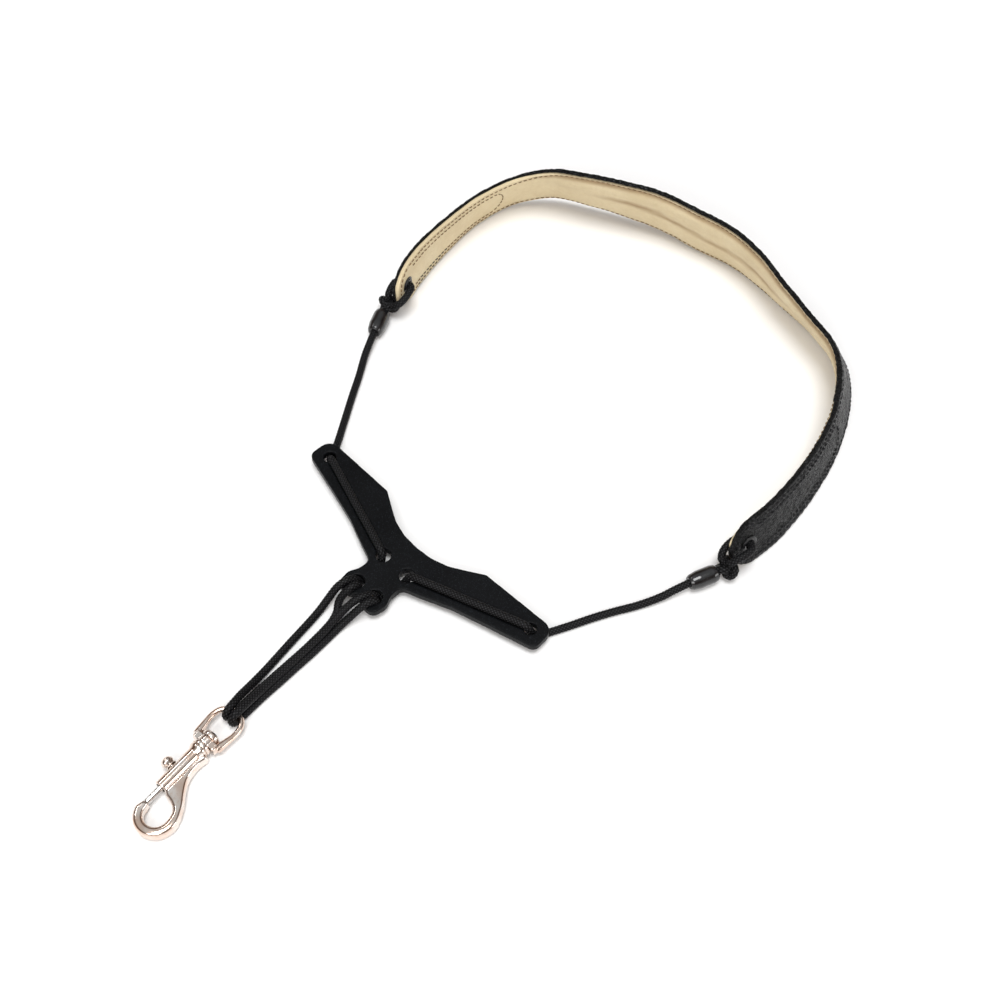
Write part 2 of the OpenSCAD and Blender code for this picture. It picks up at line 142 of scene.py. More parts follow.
def rounded(items, closed=True, steps=8):
    """A flat outline from (x, y, corner radius) items."""
    out = []
    n = len(items)
    for i, (x, y, r) in enumerate(items):
        if r == 0 or (not closed and i in (0, n - 1)):
            out.append((x, y))
        else:
            out += corner(items[i - 1][:2], (x, y), items[(i + 1) % n][:2], r, steps)
    return out


# ---- Making pieces ----

def to_row(points):
    """From the plate's frame, in millimetres, to the part's frame, in metres."""
    return (np.asarray(points, float) + PLACE) * MM


def as_object(name, data, finish):
    data.materials.append(finish)
    obj = bpy.data.objects.new(name, data)
    scene.collection.objects.link(obj)
    return obj


def piece(name, points, faces, finish):
    """A smooth-shaded piece from points in metres and faces."""
    data = bpy.data.meshes.new(name)
    data.from_pydata([tuple(p) for p in points], [], faces)
    data.shade_smooth()
    return as_object(name, data, finish)


def ring_faces(rings, count, ends=True):
    """Faces that join rings of `count` points each, one after the other."""
    faces = []
    for start in range(0, (rings - 1) * count, count):
        for j in range(count):
            k = (j + 1) % count
            faces.append((start + j, start + k, start + count + k, start + count + j))
    if ends:
        faces += [tuple(range(count - 1, -1, -1)), tuple((rings - 1) * count + j for j in range(count))]
    return faces


def tidy(obj, merge=1e-7):
    """Joins doubled points and turns every face outwards."""
    mesh = bmesh.new()
    mesh.from_mesh(obj.data)
    bmesh.ops.remove_doubles(mesh, verts=mesh.verts, dist=merge)
    bmesh.ops.recalc_face_normals(mesh, faces=mesh.faces)
    mesh.to_mesh(obj.data)
    mesh.free()


def apply_stack(obj):
    """Puts what the modifiers make into the object's own mesh."""
    bpy.context.view_layer.update()
    done = bpy.data.meshes.new_from_object(obj.evaluated_get(bpy.context.evaluated_depsgraph_get()))
    obj.modifiers.clear()
    obj.data = done
    return obj


def cut(obj, *tools, how="DIFFERENCE"):
    """Takes the tools away from the piece, or adds them to it, and removes them."""
    for tool in tools:
        change = obj.modifiers.new("cut", "BOOLEAN")
        change.operation = how
        change.solver = "EXACT"
        change.object = tool
        apply_stack(obj)
        bpy.data.objects.remove(tool)
    return obj


def turned(name, profile, finish, steps=72):
    """A turned piece round Z from (radius, height) points, from top to bottom, made at its own origin."""
    closed = profile[0][0] > 0.001 and profile[-1][0] > 0.001
    n = len(profile)
    data = bpy.data.meshes.new(name)
    data.from_pydata([(r * MM, 0, z * MM) for r, z in profile],
                     [(i, i + 1) for i in range(n - 1)] + ([(n - 1, 0)] if closed else []), [])
    obj = as_object(name, data, finish)
    screw = obj.modifiers.new("turn", "SCREW")
    screw.steps = screw.render_steps = steps
    screw.use_merge_vertices = True
    screw.merge_threshold = 1e-6
    screw.use_smooth_shade = True
    apply_stack(obj)
    tidy(obj, 1e-6)
    obj.data.set_sharp_from_angle(angle=math.radians(50))
    return obj


def slab(name, outline, low, high, finish):
    """A flat outline raised from height low to height high, in millimetres."""
    mesh = bmesh.new()
    face = mesh.faces.new([mesh.verts.new((x * MM, y * MM, low * MM)) for x, y in outline])
    raised = bmesh.ops.extrude_face_region(mesh, geom=[face])["geom"]
    raised = [item for item in raised if isinstance(item, bmesh.types.BMVert)]
    bmesh.ops.translate(mesh, vec=(0, 0, (high - low) * MM), verts=raised)
    bmesh.ops.triangulate(mesh, faces=[f for f in mesh.faces if len(f.verts) > 4])
    bmesh.ops.recalc_face_normals(mesh, faces=mesh.faces)
    data = bpy.data.meshes.new(name)
    mesh.to_mesh(data)
    mesh.free()
    return as_object(name, data, finish)


def rod(name, a, b, r, finish, sides=48):
    """A plain cylinder between two points, used as a tool."""
    return pipe(name, [a, b], [r, r], finish, sides)


def pipe(name, path, radii, finish, sides=16):
    """A round bar along a path of points, in millimetres, with a radius at each of them."""
    path = np.asarray(path, float)
    d = unit(path[1] - path[0])
    side = (1, 0, 0) if abs(d[0]) < 0.9 else (0, 1, 0)
    angles = np.linspace(0, 2 * math.pi, sides, endpoint=False)
    rings = [[p + r * (math.cos(a) * u + math.sin(a) * v) for a in angles]
             for p, r, (u, v) in zip(path, radii, carried_frames(path, side))]
    obj = piece(name, np.array(rings).reshape(-1, 3) * MM, ring_faces(len(path), sides), finish)
    tidy(obj)
    return obj


def cast(obj, voxel, rounds):
    """Melts a piece's edges and joints together, as in a polished casting or a moulding."""
    shell = obj.modifiers.new("shell", "REMESH")
    shell.mode = "VOXEL"
    shell.voxel_size = voxel * MM
    shell.use_smooth_shade = True
    ease = obj.modifiers.new("ease", "SMOOTH")
    ease.factor = 0.5
    ease.iterations = rounds
    apply_stack(obj)
    obj.data.shade_smooth()
    return obj


def put(obj, place):
    """Moves the mesh itself by a matrix in metres; the object stays at the origin."""
    obj.data.transform(place)
    obj.data.update()
    return obj


def fit_out(obj, body, slot, *nodes):
    """Puts a finished piece on its body, in place of its CAD nodes."""
    if body:
        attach(obj, body)
    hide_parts(*nodes)
    return obj


# ---- Finishes ----

def fill_ramp(node, stops):
    """Gives a colour ramp its stops."""
    ramp = node.color_ramp
    while len(ramp.elements) < len(stops):
        ramp.elements.new(0.5)
    for element, (at, colour) in zip(ramp.elements, stops):
        element.position = at
        element.color = (*colour, 1)


class Finish:
    """A material and short ways to add nodes to it."""

    def __init__(self, name, colour, rough, metal=0.0, **sockets):
        self.material = bpy.data.materials.new(name)
        self.material.use_nodes = True
        self.tree = self.material.node_tree
        self.shader = self.tree.nodes["Principled BSDF"]
        self.shader.inputs["Base Color"].default_value = (*colour, 1)
        self.shader.inputs["Roughness"].default_value = rough
        self.shader.inputs["Metallic"].default_value = metal
        for key, value in sockets.items():
            self.shader.inputs[key.replace("_", " ")].default_value = value
        self.place = self.tree.nodes.new("ShaderNodeTexCoord").outputs["Object"]

    def add(self, kind, inputs, out=0, **settings):
        node = self.tree.nodes.new(kind)
        for key, value in settings.items():
            setattr(node, key, value)
        for key, value in inputs.items():
            if isinstance(value, bpy.types.NodeSocket):
                self.tree.links.new(value, node.inputs[key])
            else:
                node.inputs[key].default_value = value
        return node.outputs[out]

    def noise(self, size, detail=3.0, vector=None, rough=0.5):
        inputs = {"Vector": vector or self.place, "Scale": 1 / (size * MM), "Detail": detail,
                  "Roughness": rough}
        return self.add("ShaderNodeTexNoise", inputs)

    def cells(self, size, vector=None, feature="DISTANCE_TO_EDGE"):
        inputs = {"Vector": vector or self.place, "Scale": 1 / (size * MM)}
        return self.add("ShaderNodeTexVoronoi", inputs, feature=feature)

    def warped(self, size, amount):
        """Object coordinates pushed about by a noise, in millimetres."""
        push = self.add("ShaderNodeTexNoise", {"Vector": self.place, "Scale": 1 / (size * MM)}, out=1)
        centred = self.add("ShaderNodeVectorMath", {0: push, 1: (0.5, 0.5, 0.5)}, operation="SUBTRACT")
        scaled = self.add("ShaderNodeVectorMath", {0: centred, "Scale": amount * MM}, operation="SCALE")
        return self.add("ShaderNodeVectorMath", {0: self.place, 1: scaled}, operation="ADD")

    def stretched(self, scale):
        """Object coordinates scaled by axis, for marks that run one way."""
        return self.add("ShaderNodeVectorMath", {0: self.place, 1: scale}, operation="MULTIPLY")

    def attribute(self, name):
        node = self.tree.nodes.new("ShaderNodeAttribute")
        node.attribute_name = name
        return node.outputs["Fac"]

    def span(self, value, low, high, to_low=0.0, to_high=1.0):
        return self.add("ShaderNodeMapRange", {"Value": value, "From Min": low, "From Max": high,
                                               "To Min": to_low, "To Max": to_high}, clamp=True)

    def ramp(self, value, stops):
        node = self.tree.nodes.new("ShaderNodeValToRGB")
        self.tree.links.new(value, node.inputs[0])
        fill_ramp(node, stops)
        return node.outputs[0]

    def mix(self, share, a, b, how="MIX"):
        return self.add("ShaderNodeMix", {0: share, 6: a, 7: b}, out=2, data_type="RGBA", blend_type=how)

    def bump(self, height, depth, strength=1.0, under=None):
        """A bump of the given depth in millimetres, over another one."""
        inputs = {"Height": height, "Strength": strength, "Distance": depth * MM}
        if under is not None:
            inputs["Normal"] = under
        return self.add("ShaderNodeBump", inputs)

    def done(self, colour=None, rough=None, normal=None):
        for key, value in (("Base Color", colour), ("Roughness", rough), ("Normal", normal)):
            if value is not None:
                self.tree.links.new(value, self.shader.inputs[key])
        return self.material


def make_black_leather():
    f = Finish("black leather", (0.012, 0.012, 0.013), 0.42, Specular_IOR_Level=0.16)
    where = f.warped(2.2, 0.9)
    edges = f.cells(1.7, where)
    pebble = f.span(edges, 0.0, 0.2)
    fine = f.noise(0.3, 4.0)
    broad = f.noise(14.0, 3.0)
    tone = f.ramp(pebble, [(0.0, (0.0002, 0.0002, 0.0003)), (0.45, (0.0015, 0.0016, 0.0018)),
                           (1.0, (0.0095, 0.010, 0.0105))])
    tone = f.mix(f.span(broad, 0.35, 0.7, 0.0, 0.45), tone, (0.007, 0.0073, 0.0077, 1))
    rough = f.span(broad, 0.3, 0.75, 0.27, 0.38)
    normal = f.bump(fine, 0.08, 0.7, f.bump(pebble, 0.45, 1.0))
    return f.done(tone, rough, normal)


def make_lining_leather():
    f = Finish("beige lining", (0.60, 0.49, 0.32), 0.6, Specular_IOR_Level=0.35)
    broad = f.noise(22.0, 4.0)
    mottle = f.noise(2.6, 5.0, rough=0.6)
    pores = f.cells(0.55, f.warped(1.2, 0.5))
    tone = f.ramp(broad, [(0.3, (0.69, 0.575, 0.365)), (0.55, (0.75, 0.635, 0.415)),
                          (0.8, (0.79, 0.69, 0.475))])
    tone = f.mix(f.span(mottle, 0.42, 0.7, 0.0, 0.3), tone, (0.63, 0.50, 0.305, 1))
    tone = f.mix(f.span(pores, 0.0, 0.06, 0.16, 0.0), tone, (0.36, 0.25, 0.13, 1))
    # painted shade: the lining is darkened to brown along the padding's crease and in the stitch grooves, and
    # a little at its edges
    tone = f.mix(f.attribute("crease_shade_and_dark_edges"), tone, (0.33, 0.205, 0.10, 1))
    wrinkle = f.noise(5.5, 3.0, f.warped(9.0, 4.0))
    grain = f.bump(f.span(pores, 0.0, 0.12), 0.09, 0.9)
    normal = f.bump(wrinkle, 0.9, 0.5, f.bump(mottle, 0.16, 0.7, grain))
    return f.done(tone, f.span(mottle, 0.3, 0.7, 0.52, 0.68), normal)


def make_cord():
    f = Finish("black braided cord", (0.01, 0.01, 0.011), 0.4, Specular_IOR_Level=0.1)
    crown = f.attribute("crown")
    fibre = f.noise(0.16, 3.0)
    # painted highlight and shade: each strand's crown is painted lighter and the valleys between the strands
    # near black
    tone = f.ramp(crown, [(0.0, (0.0001, 0.0001, 0.0001)), (0.5, (0.0008, 0.0008, 0.001)),
                          (0.92, (0.042, 0.042, 0.045))])
    tone = f.mix(f.span(fibre, 0.5, 0.8, 0.0, 0.4), tone, (0.022, 0.022, 0.024, 1))
    return f.done(tone, f.span(fibre, 0.3, 0.7, 0.36, 0.52), f.bump(fibre, 0.05, 0.8))


def make_bead_plastic():
    f = Finish("bead plastic", (0.008, 0.008, 0.009), 0.16, Specular_IOR_Level=0.5, Coat_Weight=0.3,
               Coat_Roughness=0.08)
    haze = f.noise(3.5, 4.0)
    scratch = f.noise(0.5, 2.0, f.stretched((6.0, 1.0, 1.0)))
    tone = f.mix(f.span(haze, 0.4, 0.8), (0.006, 0.006, 0.0065, 1), (0.016, 0.015, 0.016, 1))
    return f.done(tone, f.span(haze, 0.3, 0.75, 0.11, 0.24), f.bump(scratch, 0.01, 0.25))


def make_plate_plastic():
    f = Finish("plate plastic", (0.004, 0.0043, 0.005), 0.34, Specular_IOR_Level=0.07)
    spark = f.cells(0.55, f.warped(0.8, 0.5), "F1")
    grain = f.noise(0.32, 3.0)
    broad = f.noise(30.0, 2.0)
    tone = f.ramp(broad, [(0.3, (0.0028, 0.003, 0.0035)), (0.7, (0.0052, 0.0056, 0.0064))])
    # painted glints: light specks in the plastic's colour stand in for glints off its fine texture
    tone = f.mix(f.span(spark, 0.08, 0.24, 0.8, 0.0), tone, (0.045, 0.053, 0.064, 1))
    rough = f.span(grain, 0.3, 0.7, 0.26, 0.42)
    return f.done(tone, rough, f.bump(grain, 0.09, 0.9, f.bump(spark, 0.05, 0.5)))


def make_nickel(name, colour, rough):
    f = Finish(name, colour, rough, 1.0)
    haze = f.noise(4.0, 4.0)
    brown_reflection_patches = f.noise(1.4, 5.0, f.warped(3.0, 2.0))
    lines = f.noise(0.35, 2.0, f.stretched((1.0, 0.12, 1.0)))
    # painted reflection: rose-brown patches mixed into the metal's colour stand in for reflections of brown
    # surroundings
    reflected_brown = (colour[0] * 0.86, colour[1] * 0.66, colour[2] * 0.54)
    warmth = f.noise(9.0, 2.0)
    tone = f.mix(f.span(warmth, 0.42, 0.62, 0.0, 0.7), (*colour, 1), (*reflected_brown, 1))
    tone = f.mix(f.span(brown_reflection_patches, 0.52, 0.74, 0.0, 0.4), tone, (*reflected_brown, 1))
    return f.done(tone, f.span(haze, 0.3, 0.75, rough * 0.75, rough * 1.7), f.bump(lines, 0.012, 0.3))


def make_thread(name, low, high):
    f = Finish(name, low, 0.6, Specular_IOR_Level=0.3)
    strand = f.noise(0.3, 2.0)
    tone = f.mix(f.span(strand, 0.35, 0.65), (*low, 1), (*high, 1))
    return f.done(tone, f.span(strand, 0.3, 0.7, 0.5, 0.7), f.bump(strand, 0.06, 0.6))


def make_enamel():
    f = Finish("eyelet enamel", (0.01, 0.01, 0.011), 0.24, Specular_IOR_Level=0.3, Coat_Weight=0.1,
               Coat_Roughness=0.1)
    wear = f.noise(0.7, 4.0)
    tone = f.mix(f.span(wear, 0.62, 0.75), (0.009, 0.009, 0.01, 1), (0.05, 0.047, 0.044, 1))
    return f.done(tone, f.span(wear, 0.3, 0.7, 0.14, 0.3), f.bump(wear, 0.02, 0.3))


def make_webbing():
    f = Finish("webbing", (0.02, 0.02, 0.022), 0.7, Specular_IOR_Level=0.3)
    weave = f.add("ShaderNodeTexWave", {"Vector": f.place, "Scale": 260.0, "Distortion": 0.4},
                  bands_direction="Z")
    fibre = f.noise(0.3, 2.0)
    tone = f.mix(weave, (0.010, 0.010, 0.011, 1), (0.032, 0.032, 0.034, 1))
    return f.done(tone, f.span(fibre, 0.3, 0.7, 0.6, 0.8), f.bump(fibre, 0.06, 0.5, f.bump(weave, 0.2, 0.8)))


def make_foam():
    f = Finish("foam", (0.10, 0.10, 0.105), 0.9, Specular_IOR_Level=0.2)
    pores = f.cells(0.6)
    tone = f.mix(f.span(pores, 0.0, 0.2), (0.04, 0.04, 0.042, 1), (0.12, 0.12, 0.125, 1))
    return f.done(tone, f.span(pores, 0.0, 0.3, 0.95, 0.85), f.bump(pores, 0.2, 0.8))


BLACK_LEATHER = make_black_leather()
LINING = make_lining_leather()
CORD = make_cord()
BEAD = make_bead_plastic()
PLATE = make_plate_plastic()
NICKEL = make_nickel("polished nickel", (0.81, 0.735, 0.68), 0.14)
STEEL = make_nickel("bolt steel", (0.66, 0.65, 0.64), 0.2)
TAN_THREAD = make_thread("tan thread", (0.13, 0.075, 0.03), (0.25, 0.155, 0.07))
DARK_THREAD = make_thread("dark thread", (0.012, 0.010, 0.009), (0.035, 0.03, 0.026))
BLACK_THREAD = make_thread("black thread", (0.008, 0.008, 0.009), (0.022, 0.022, 0.024))
ENAMEL = make_enamel()
WEBBING = make_webbing()
FOAM = make_foam()


# ---- Braided cord ----

CORD_R = 1.68
STRANDS = 7      # strands that run each way round the cord
PICK = 1.45      # length of one crossing of the braid
RELIEF = 0.27    # how deep the braid's valleys are
CORD_SIDES = 28
CORD_STEP = 0.26


def braid(name, path, radius=CORD_R, closed=False):
    """A braided cord along a path, each strand's crown raised where it passes over."""
    count = len(path)
    run = np.concatenate([[0], np.cumsum(np.linalg.norm(np.diff(path, axis=0), axis=1))])
    v = np.arange(CORD_SIDES) / CORD_SIDES
    a = STRANDS * v[None, :] + run[:, None] / PICK
    b = STRANDS * v[None, :] - run[:, None] / PICK
    over = (np.floor(a) + np.floor(b)) % 2 < 0.5
    first, second = np.abs(np.sin(np.pi * a)), np.abs(np.sin(np.pi * b))
    crown = np.where(over, first * (0.35 + 0.65 * second), second * (0.35 + 0.65 * first))
    rise = radius - RELIEF + RELIEF * 1.15 * crown
    points = []
    angles = 2 * math.pi * v
    for i, (p, (side, other)) in enumerate(zip(path, carried_frames(path))):
        round_it = np.cos(angles)[:, None] * side + np.sin(angles)[:, None] * other
        points.append(p + rise[i][:, None] * round_it)
    points = np.array(points).reshape(-1, 3)
    points[:, 2] = np.maximum(points[:, 2], 0.0)  # flattened where it rests on the table
    obj = piece(name, to_row(points), ring_faces(count, CORD_SIDES, not closed), CORD)
    crowns = obj.data.attributes.new("crown", "FLOAT", "POINT")
    crowns.data.foreach_set("value", crown.astype(np.float32).ravel())
    return obj


def free_cord(name, route, radius=CORD_R):
    """A cord along its route, which starts and ends at the object."""
    path = even_path(route, CORD_STEP)
    obj = braid(name, path, radius)
    line = to_row(path[::6] if (len(path) - 1) % 6 == 0 else np.concatenate([path[::6], path[-1:]]))
    return obj


def mirrored(points):
    return [(-x, *rest) for x, *rest in points]


side_left = [(-105.1, 106.3, 4.3), (-102, 100.5, 4.3), (-98.7, 94.3, 4.3), (-95.5, 88.3, 3.6),
             (-92.6, 83, 2.6), (-86.5, 74, 1.7), (-80, 64, 1.6), (-73.5, 54.4, 1.6), (-67.4, 45.4, 1.6),
             (-63, 38.7, 1.6), (-61, 35.7, 1.6)]
side_right = [(93.6, 107.2, 4.3), (91.1, 100.6, 4.3), (88.6, 94, 4.3), (86.4, 87.8, 3.6), (84.3, 82, 2.6),
              (80.2, 73.4, 1.7), (75.6, 65, 1.6), (71.4, 56.4, 1.6), (67.2, 46.8, 1.6), (63.4, 38.8, 1.6),
              (61.6, 35.6, 1.6)]
wing = [(60.4, 34.6, 1.7), (59.4, 33.5, 4.4), (57.4, 32.7, 7.2), (52, 30.9, 7.6), (43, 27.9, 7.6),
        (33.2, 24.6, 7.6), (23.4, 21.4, 7.6), (14, 18.2, 7.6), (9.2, 16.6, 7.1), (7.4, 15.4, 4.6),
        (7, 12.6, 2), (6.8, 8.4, 1.6),
        (6.6, 4, 1.7), (6.4, 1.6, 3)]
hook_cord_left_route = [
    (-6.4, 1.2, 4.6), (-6.8, -0.9, 7.4), (-7.6, -4.2, 8.5), (-8.4, -8, 7.2), (-8.6, -12.4, 4.2), (-8, -18, 2),
    (-7, -24, 1.6), (-5.9, -31, 1.6), (-4.8, -38, 1.6), (-3.6, -45, 1.6), (-2.4, -52, 1.8), (-1, -59, 3),
    (0.8, -65.6, 5.4), (2.6, -71, 7.2), (3.1, -73.8, 6.7), (3.2, -75, 4.3), (3.2, -73.8, 2), (3, -71, 1.5),
    (2.6, -65, 1.6), (2.2, -58, 1.6), (1.9, -50, 1.6), (1.6, -42, 1.6), (1.2, -34, 1.6), (0.5, -26, 1.6),
    (-0.6, -18.6, 1.7), (-2.4, -13.8, 2.2), (-4.4, -11, 3.8), (-4.6, -8, 6.4), (-3.8, -4.6, 8.3),
    (-3.7, -1.6, 7.6), (-3.9, -0.6, 4.4), (-3, -0.8, 1.9), (0, -1.2, 1.6), (3.2, -1, 1.9)]
hook_cord_right_route = [
    (4.4, 1.4, 4.6), (4, -0.8, 7.4), (2.8, -4, 8.6), (1.6, -8.4, 7.9), (0.8, -13, 6), (1, -18.6, 4.6),
    (1.9, -25, 4.4), (2.6, -32, 4.4), (3.1, -39, 4.4), (3.5, -46, 4.4), (3.9, -53, 4.5), (4.7, -60, 5.2),
    (5.8, -66.4, 6.6), (6.4, -71, 7.2), (6.6, -73.8, 6.7), (6.6, -75, 4.3), (6.6, -73.8, 2), (6.4, -71, 1.5),
    (6, -65, 1.6), (5.5, -58, 1.6), (5.2, -50, 1.6), (4.8, -42, 1.6), (4.5, -34, 1.6), (3.9, -26, 1.6),
    (3.4, -19, 1.9), (3.8, -13.6, 3.6), (5, -9, 6.6), (6, -5, 8.4), (6.8, -1.8, 7.8), (6.9, -0.6, 4.6),
    (6.4, -0.8, 2.6)]

for side, route in (("left", side_left), ("right", side_right)):
    cord = free_cord(f"braided_side_cord_{side}", route)
    to_row((0, 93, 2))
    to_row((0, 36, 2))
    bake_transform(cord)
    fit_out(cord, None, "braided_cord", f"side_cord_{side}")
for side, route in (("left", mirrored(wing)), ("right", wing)):
    fit_out(free_cord(f"braided_wing_cord_{side}", route), "plate", "braided_cord", f"wing_cord_{side}")
for side, route in (("left", hook_cord_left_route), ("right", hook_cord_right_route)):
    cord = free_cord(f"braided_hook_cord_{side}", route)
    to_row((0, -5.5, 3))
    to_row((6, -70.5, 3))
    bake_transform(cord)
    fit_out(cord, None, "braided_cord", f"hook_cord_{side}")

eyelet_loops = {
    "left": [(-104.8, 110.6, 6.2), (-101.9, 109.6, 7.6), (-99.7, 111.4, 9.6), (-99.4, 114.8, 11.1),
             (-100.2, 118.2, 12.1), (-101.3, 120.4, 12.6), (-103.4, 120.6, 12.6), (-107.3, 119.3, 12.6),
             (-108.8, 117.6, 12.4), (-108.2, 114.4, 11.7), (-107.2, 111.6, 9.9), (-106.6, 110.9, 7.4)],
    "right": [(93.8, 110.8, 6.4), (91.6, 110.7, 8), (90.3, 113, 9.8), (90.1, 116.4, 10.9),
              (90.6, 119.8, 11.3), (92.2, 121.9, 11.8), (94.6, 121.7, 12.2), (97.3, 121.5, 12.8),
              (99.2, 119.6, 13.1), (98.9, 116, 12.7), (97.8, 112.8, 11.7), (96.5, 110.9, 9.8),
              (95.6, 110.7, 7.6)]}
for side, route in eyelet_loops.items():
    loop = braid(f"braided_eyelet_cord_{side}", even_path(route, CORD_STEP))
    fit_out(loop, "pad", "braided_cord", f"eyelet_cord_{side}")


# ---- Knots ----

knot_at = {"left": (-106.2, 110.2, 5), "right": (95, 110.6, 5)}
knot_turn = {"left": 20.0, "right": -35.0}


def knot_path(centre, turn):
    """Three interlocked bights pulled tight."""
    t = np.linspace(0, 2 * math.pi, 240)
    flat = 1.28
    x = flat * (np.sin(t) + 2 * np.sin(2 * t))
    y = flat * (np.cos(t) - 2 * np.cos(2 * t))
    z = -1.55 * np.sin(3 * t)
    c, s = math.cos(math.radians(turn)), math.sin(math.radians(turn))
    return spaced(np.stack([c * x - s * y, s * x + c * y, z], axis=1), CORD_STEP) + np.asarray(centre, float)


def knot_core(centre):
    """The short turn of cord that fills the middle of a knot."""
    t = np.linspace(0, 2 * math.pi, 40)[:-1]
    turn = np.stack([1.1 * np.cos(t), 1.1 * np.sin(t), 0.6 * np.cos(t) + 0.7], axis=1)
    return turn + np.asarray(centre, float)


for side, centre in knot_at.items():
    knot = braid(f"braided_knot_{side}", knot_path(centre, knot_turn[side]))
    fit_out(knot, "pad", "braided_cord", f"knot_{side}")
    core = braid(f"braided_knot_core_{side}", knot_core(centre), closed=True)
    fit_out(core, "pad", "braided_cord")


# ---- Beads ----

BEAD_L, BEAD_R, BEAD_BORE = 12.5, 3.8, 1.64
bead_at = {"left": (-101.8, 100.1, 4.3), "right": (91, 100.4, 4.3)}
bead_dir = {"left": (0.47, -0.883), "right": (-0.35, -0.937)}
half_l = BEAD_L / 2
bead_profile = rounded([
    (BEAD_BORE, half_l, 0.2), (BEAD_R * 0.7, half_l, 0.35), (BEAD_R * 0.86, half_l - 1.1, 1.2),
    (BEAD_R, half_l - 4.2, 6),
    (BEAD_R, -half_l + 2.2, 3), (BEAD_R * 0.91, -half_l + 0.6, 0.8), (BEAD_R * 0.78, -half_l, 0.4),
    (BEAD_BORE, -half_l, 0.2)], steps=5)
for side in ("left", "right"):
    bead = turned(f"stopper_bead_{side}", bead_profile, BEAD)
    heading = Vector((*bead_dir[side], 0)).normalized()
    turn = heading.to_track_quat("Z", "Y").to_matrix().to_4x4()
    put(bead, Matrix.Translation(Vector(to_row(bead_at[side]))) @ turn)
    fit_out(bead, f"bead_{side}", "bead_plastic", f"bead_{side}")


# ---- Neck pad ----

# Where the band's lower edge runs: X, Y, lift off the table, lean towards the inside in degrees, and width
pad_route = np.array([
    (-102, 111.5, 0, -1, 24), (-109.5, 132.5, 0, 2, 25), (-115, 154.5, 0, 8, 25), (-118, 177, 0, 15, 26),
    (-114.5, 198, 1, 20, 27), (-102.5, 213, 4, 22, 28), (-86, 222.5, 5, 22, 29), (-69, 230, 4, 19, 30),
    (-51.5, 237, 2, 15, 30), (-32.5, 241, 0, 13, 30), (-13, 244.5, 0, 15, 30), (7, 243.5, 0, 18, 30),
    (26, 240.5, 0, 24, 30), (45, 237, 0, 28, 29), (62.5, 230, 0, 26, 28), (76, 215, 0, 18, 27),
    (86.5, 195, 0, 13, 26), (93, 175, 0, 12, 25), (97, 154.5, 0, 12, 25), (98.5, 134, 0, 12, 25),
    (96.3, 112.5, 0, 12, 24)])
PAD_LAST = len(pad_route) - 1
PAD_STEP = 20.0
TIP_ROUND = 11 / PAD_STEP
TAPE_END = 3.6
EDGE_LIFT = 0.3
MID_PLANE = -0.4
LEATHER_T, LINING_T, TAPE_T, FOAM_T = 1.2, 0.9, 0.9, 2.8
SEAM = 0.84
ROW_IN = 2.5  # the edge row of stitches, from the edge
SET_OUT = 12.0  # the half width on which the places across a ring are set out
MIDDLE = 3.0  # places this near the middle line are spread to suit the band's width
CLEAR = 0.03  # between the filling and the outer leather, and the filling's least thickness
SKIN = 0.8  # from the lining's face down to the filling


def pad_frame(s):
    """The band's middle, its direction across, its direction towards the lining, and half its width."""
    p = read(pad_route, s)
    ahead = read(pad_route, min(s + 0.1, PAD_LAST)) - read(pad_route, max(s - 0.1, 0))
    inward = unit((ahead[1], -ahead[0], 0))
    lean = math.radians(p[3])
    up = inward * math.sin(lean) + UP * math.cos(lean)
    face = inward * math.cos(lean) - UP * math.sin(lean)
    return np.array([p[0], p[1], p[2] + EDGE_LIFT]) + up * p[4] / 2, up, face, p[4] / 2


def from_tip(s):
    return min(s, PAD_LAST - s)


def tip_width(s):
    t = min(from_tip(s) / TIP_ROUND, 1.0)
    return math.sqrt(max(1 - (1 - t) ** 2, 0))


def padded_share(s):
    """0 in the flat ends, 1 where the band is padded."""
    return smooth(TAPE_END, TAPE_END + 2.5, from_tip(s))


def crown(u):
    """The padding's height across the band: steep below the upper seam, a long slope to the lower edge."""
    reach, power = (SEAM - 0.05, 6.0) if u > 0 else (0.96, 2.2)
    return max(0.0, 1 - (abs(u) / reach) ** power)


def crease_at(s):
    """Where the padding's long crease crosses the band, and how strong it is there."""
    where = float(np.interp(s, (5.3, 9.5, 11.3, 13.0), (0.34, 0.02, 0.10, 0.25)))
    return where, smooth(5.0, 6.2, s) * (1 - smooth(11.2, 12.8, s))


def crease(s, u):
    """The padding stands higher below the crease, which is itself a narrow fold."""
    where, strength = crease_at(s)
    return strength * (0.9 * smooth(-0.10, 0.02, where - u) - 0.7 * math.exp(-(((u - where) / 0.07) ** 2)))


def seam_dip(s, w, half):
    """How far the edge rows of stitching pull a face in."""
    if tip_width(s) < 0.7:
        return 0.0
    d = abs(abs(w) - (half - ROW_IN)) / 0.75
    deep = 0.16 + padded_share(s) * (0.75 if w > 0 else 0.16)
    return deep * math.exp(-d * d)


def ripple(s, u):
    """Slow unevenness of hand-made leather work."""
    slow = 0.16 * math.sin(s * 5.1 + 1.3 * u) * math.cos(u * 2.3 + s * 1.7)
    return slow + 0.08 * math.sin(s * 13.7 + u * 4.0)


def lining_depth(s, w, half):
    u = w / half
    puff = TAPE_T + (FOAM_T - TAPE_T) * padded_share(s) * crown(u) + crease(s, u)
    wave = ripple(s, u) * (0.4 + 0.6 * padded_share(s)) * max(0.0, 1 - u * u)
    return MID_PLANE + LINING_T + puff - seam_dip(s, w, half) + wave


def leather_depth(s, w, half):
    u = w / half
    bulge = 0.35 * padded_share(s) * crown(u)
    wave = 0.5 * ripple(s + 3, u) * max(0.0, 1 - u * u)
    return MID_PLANE - LEATHER_T - bulge + 0.6 * seam_dip(s, w, half) + wave


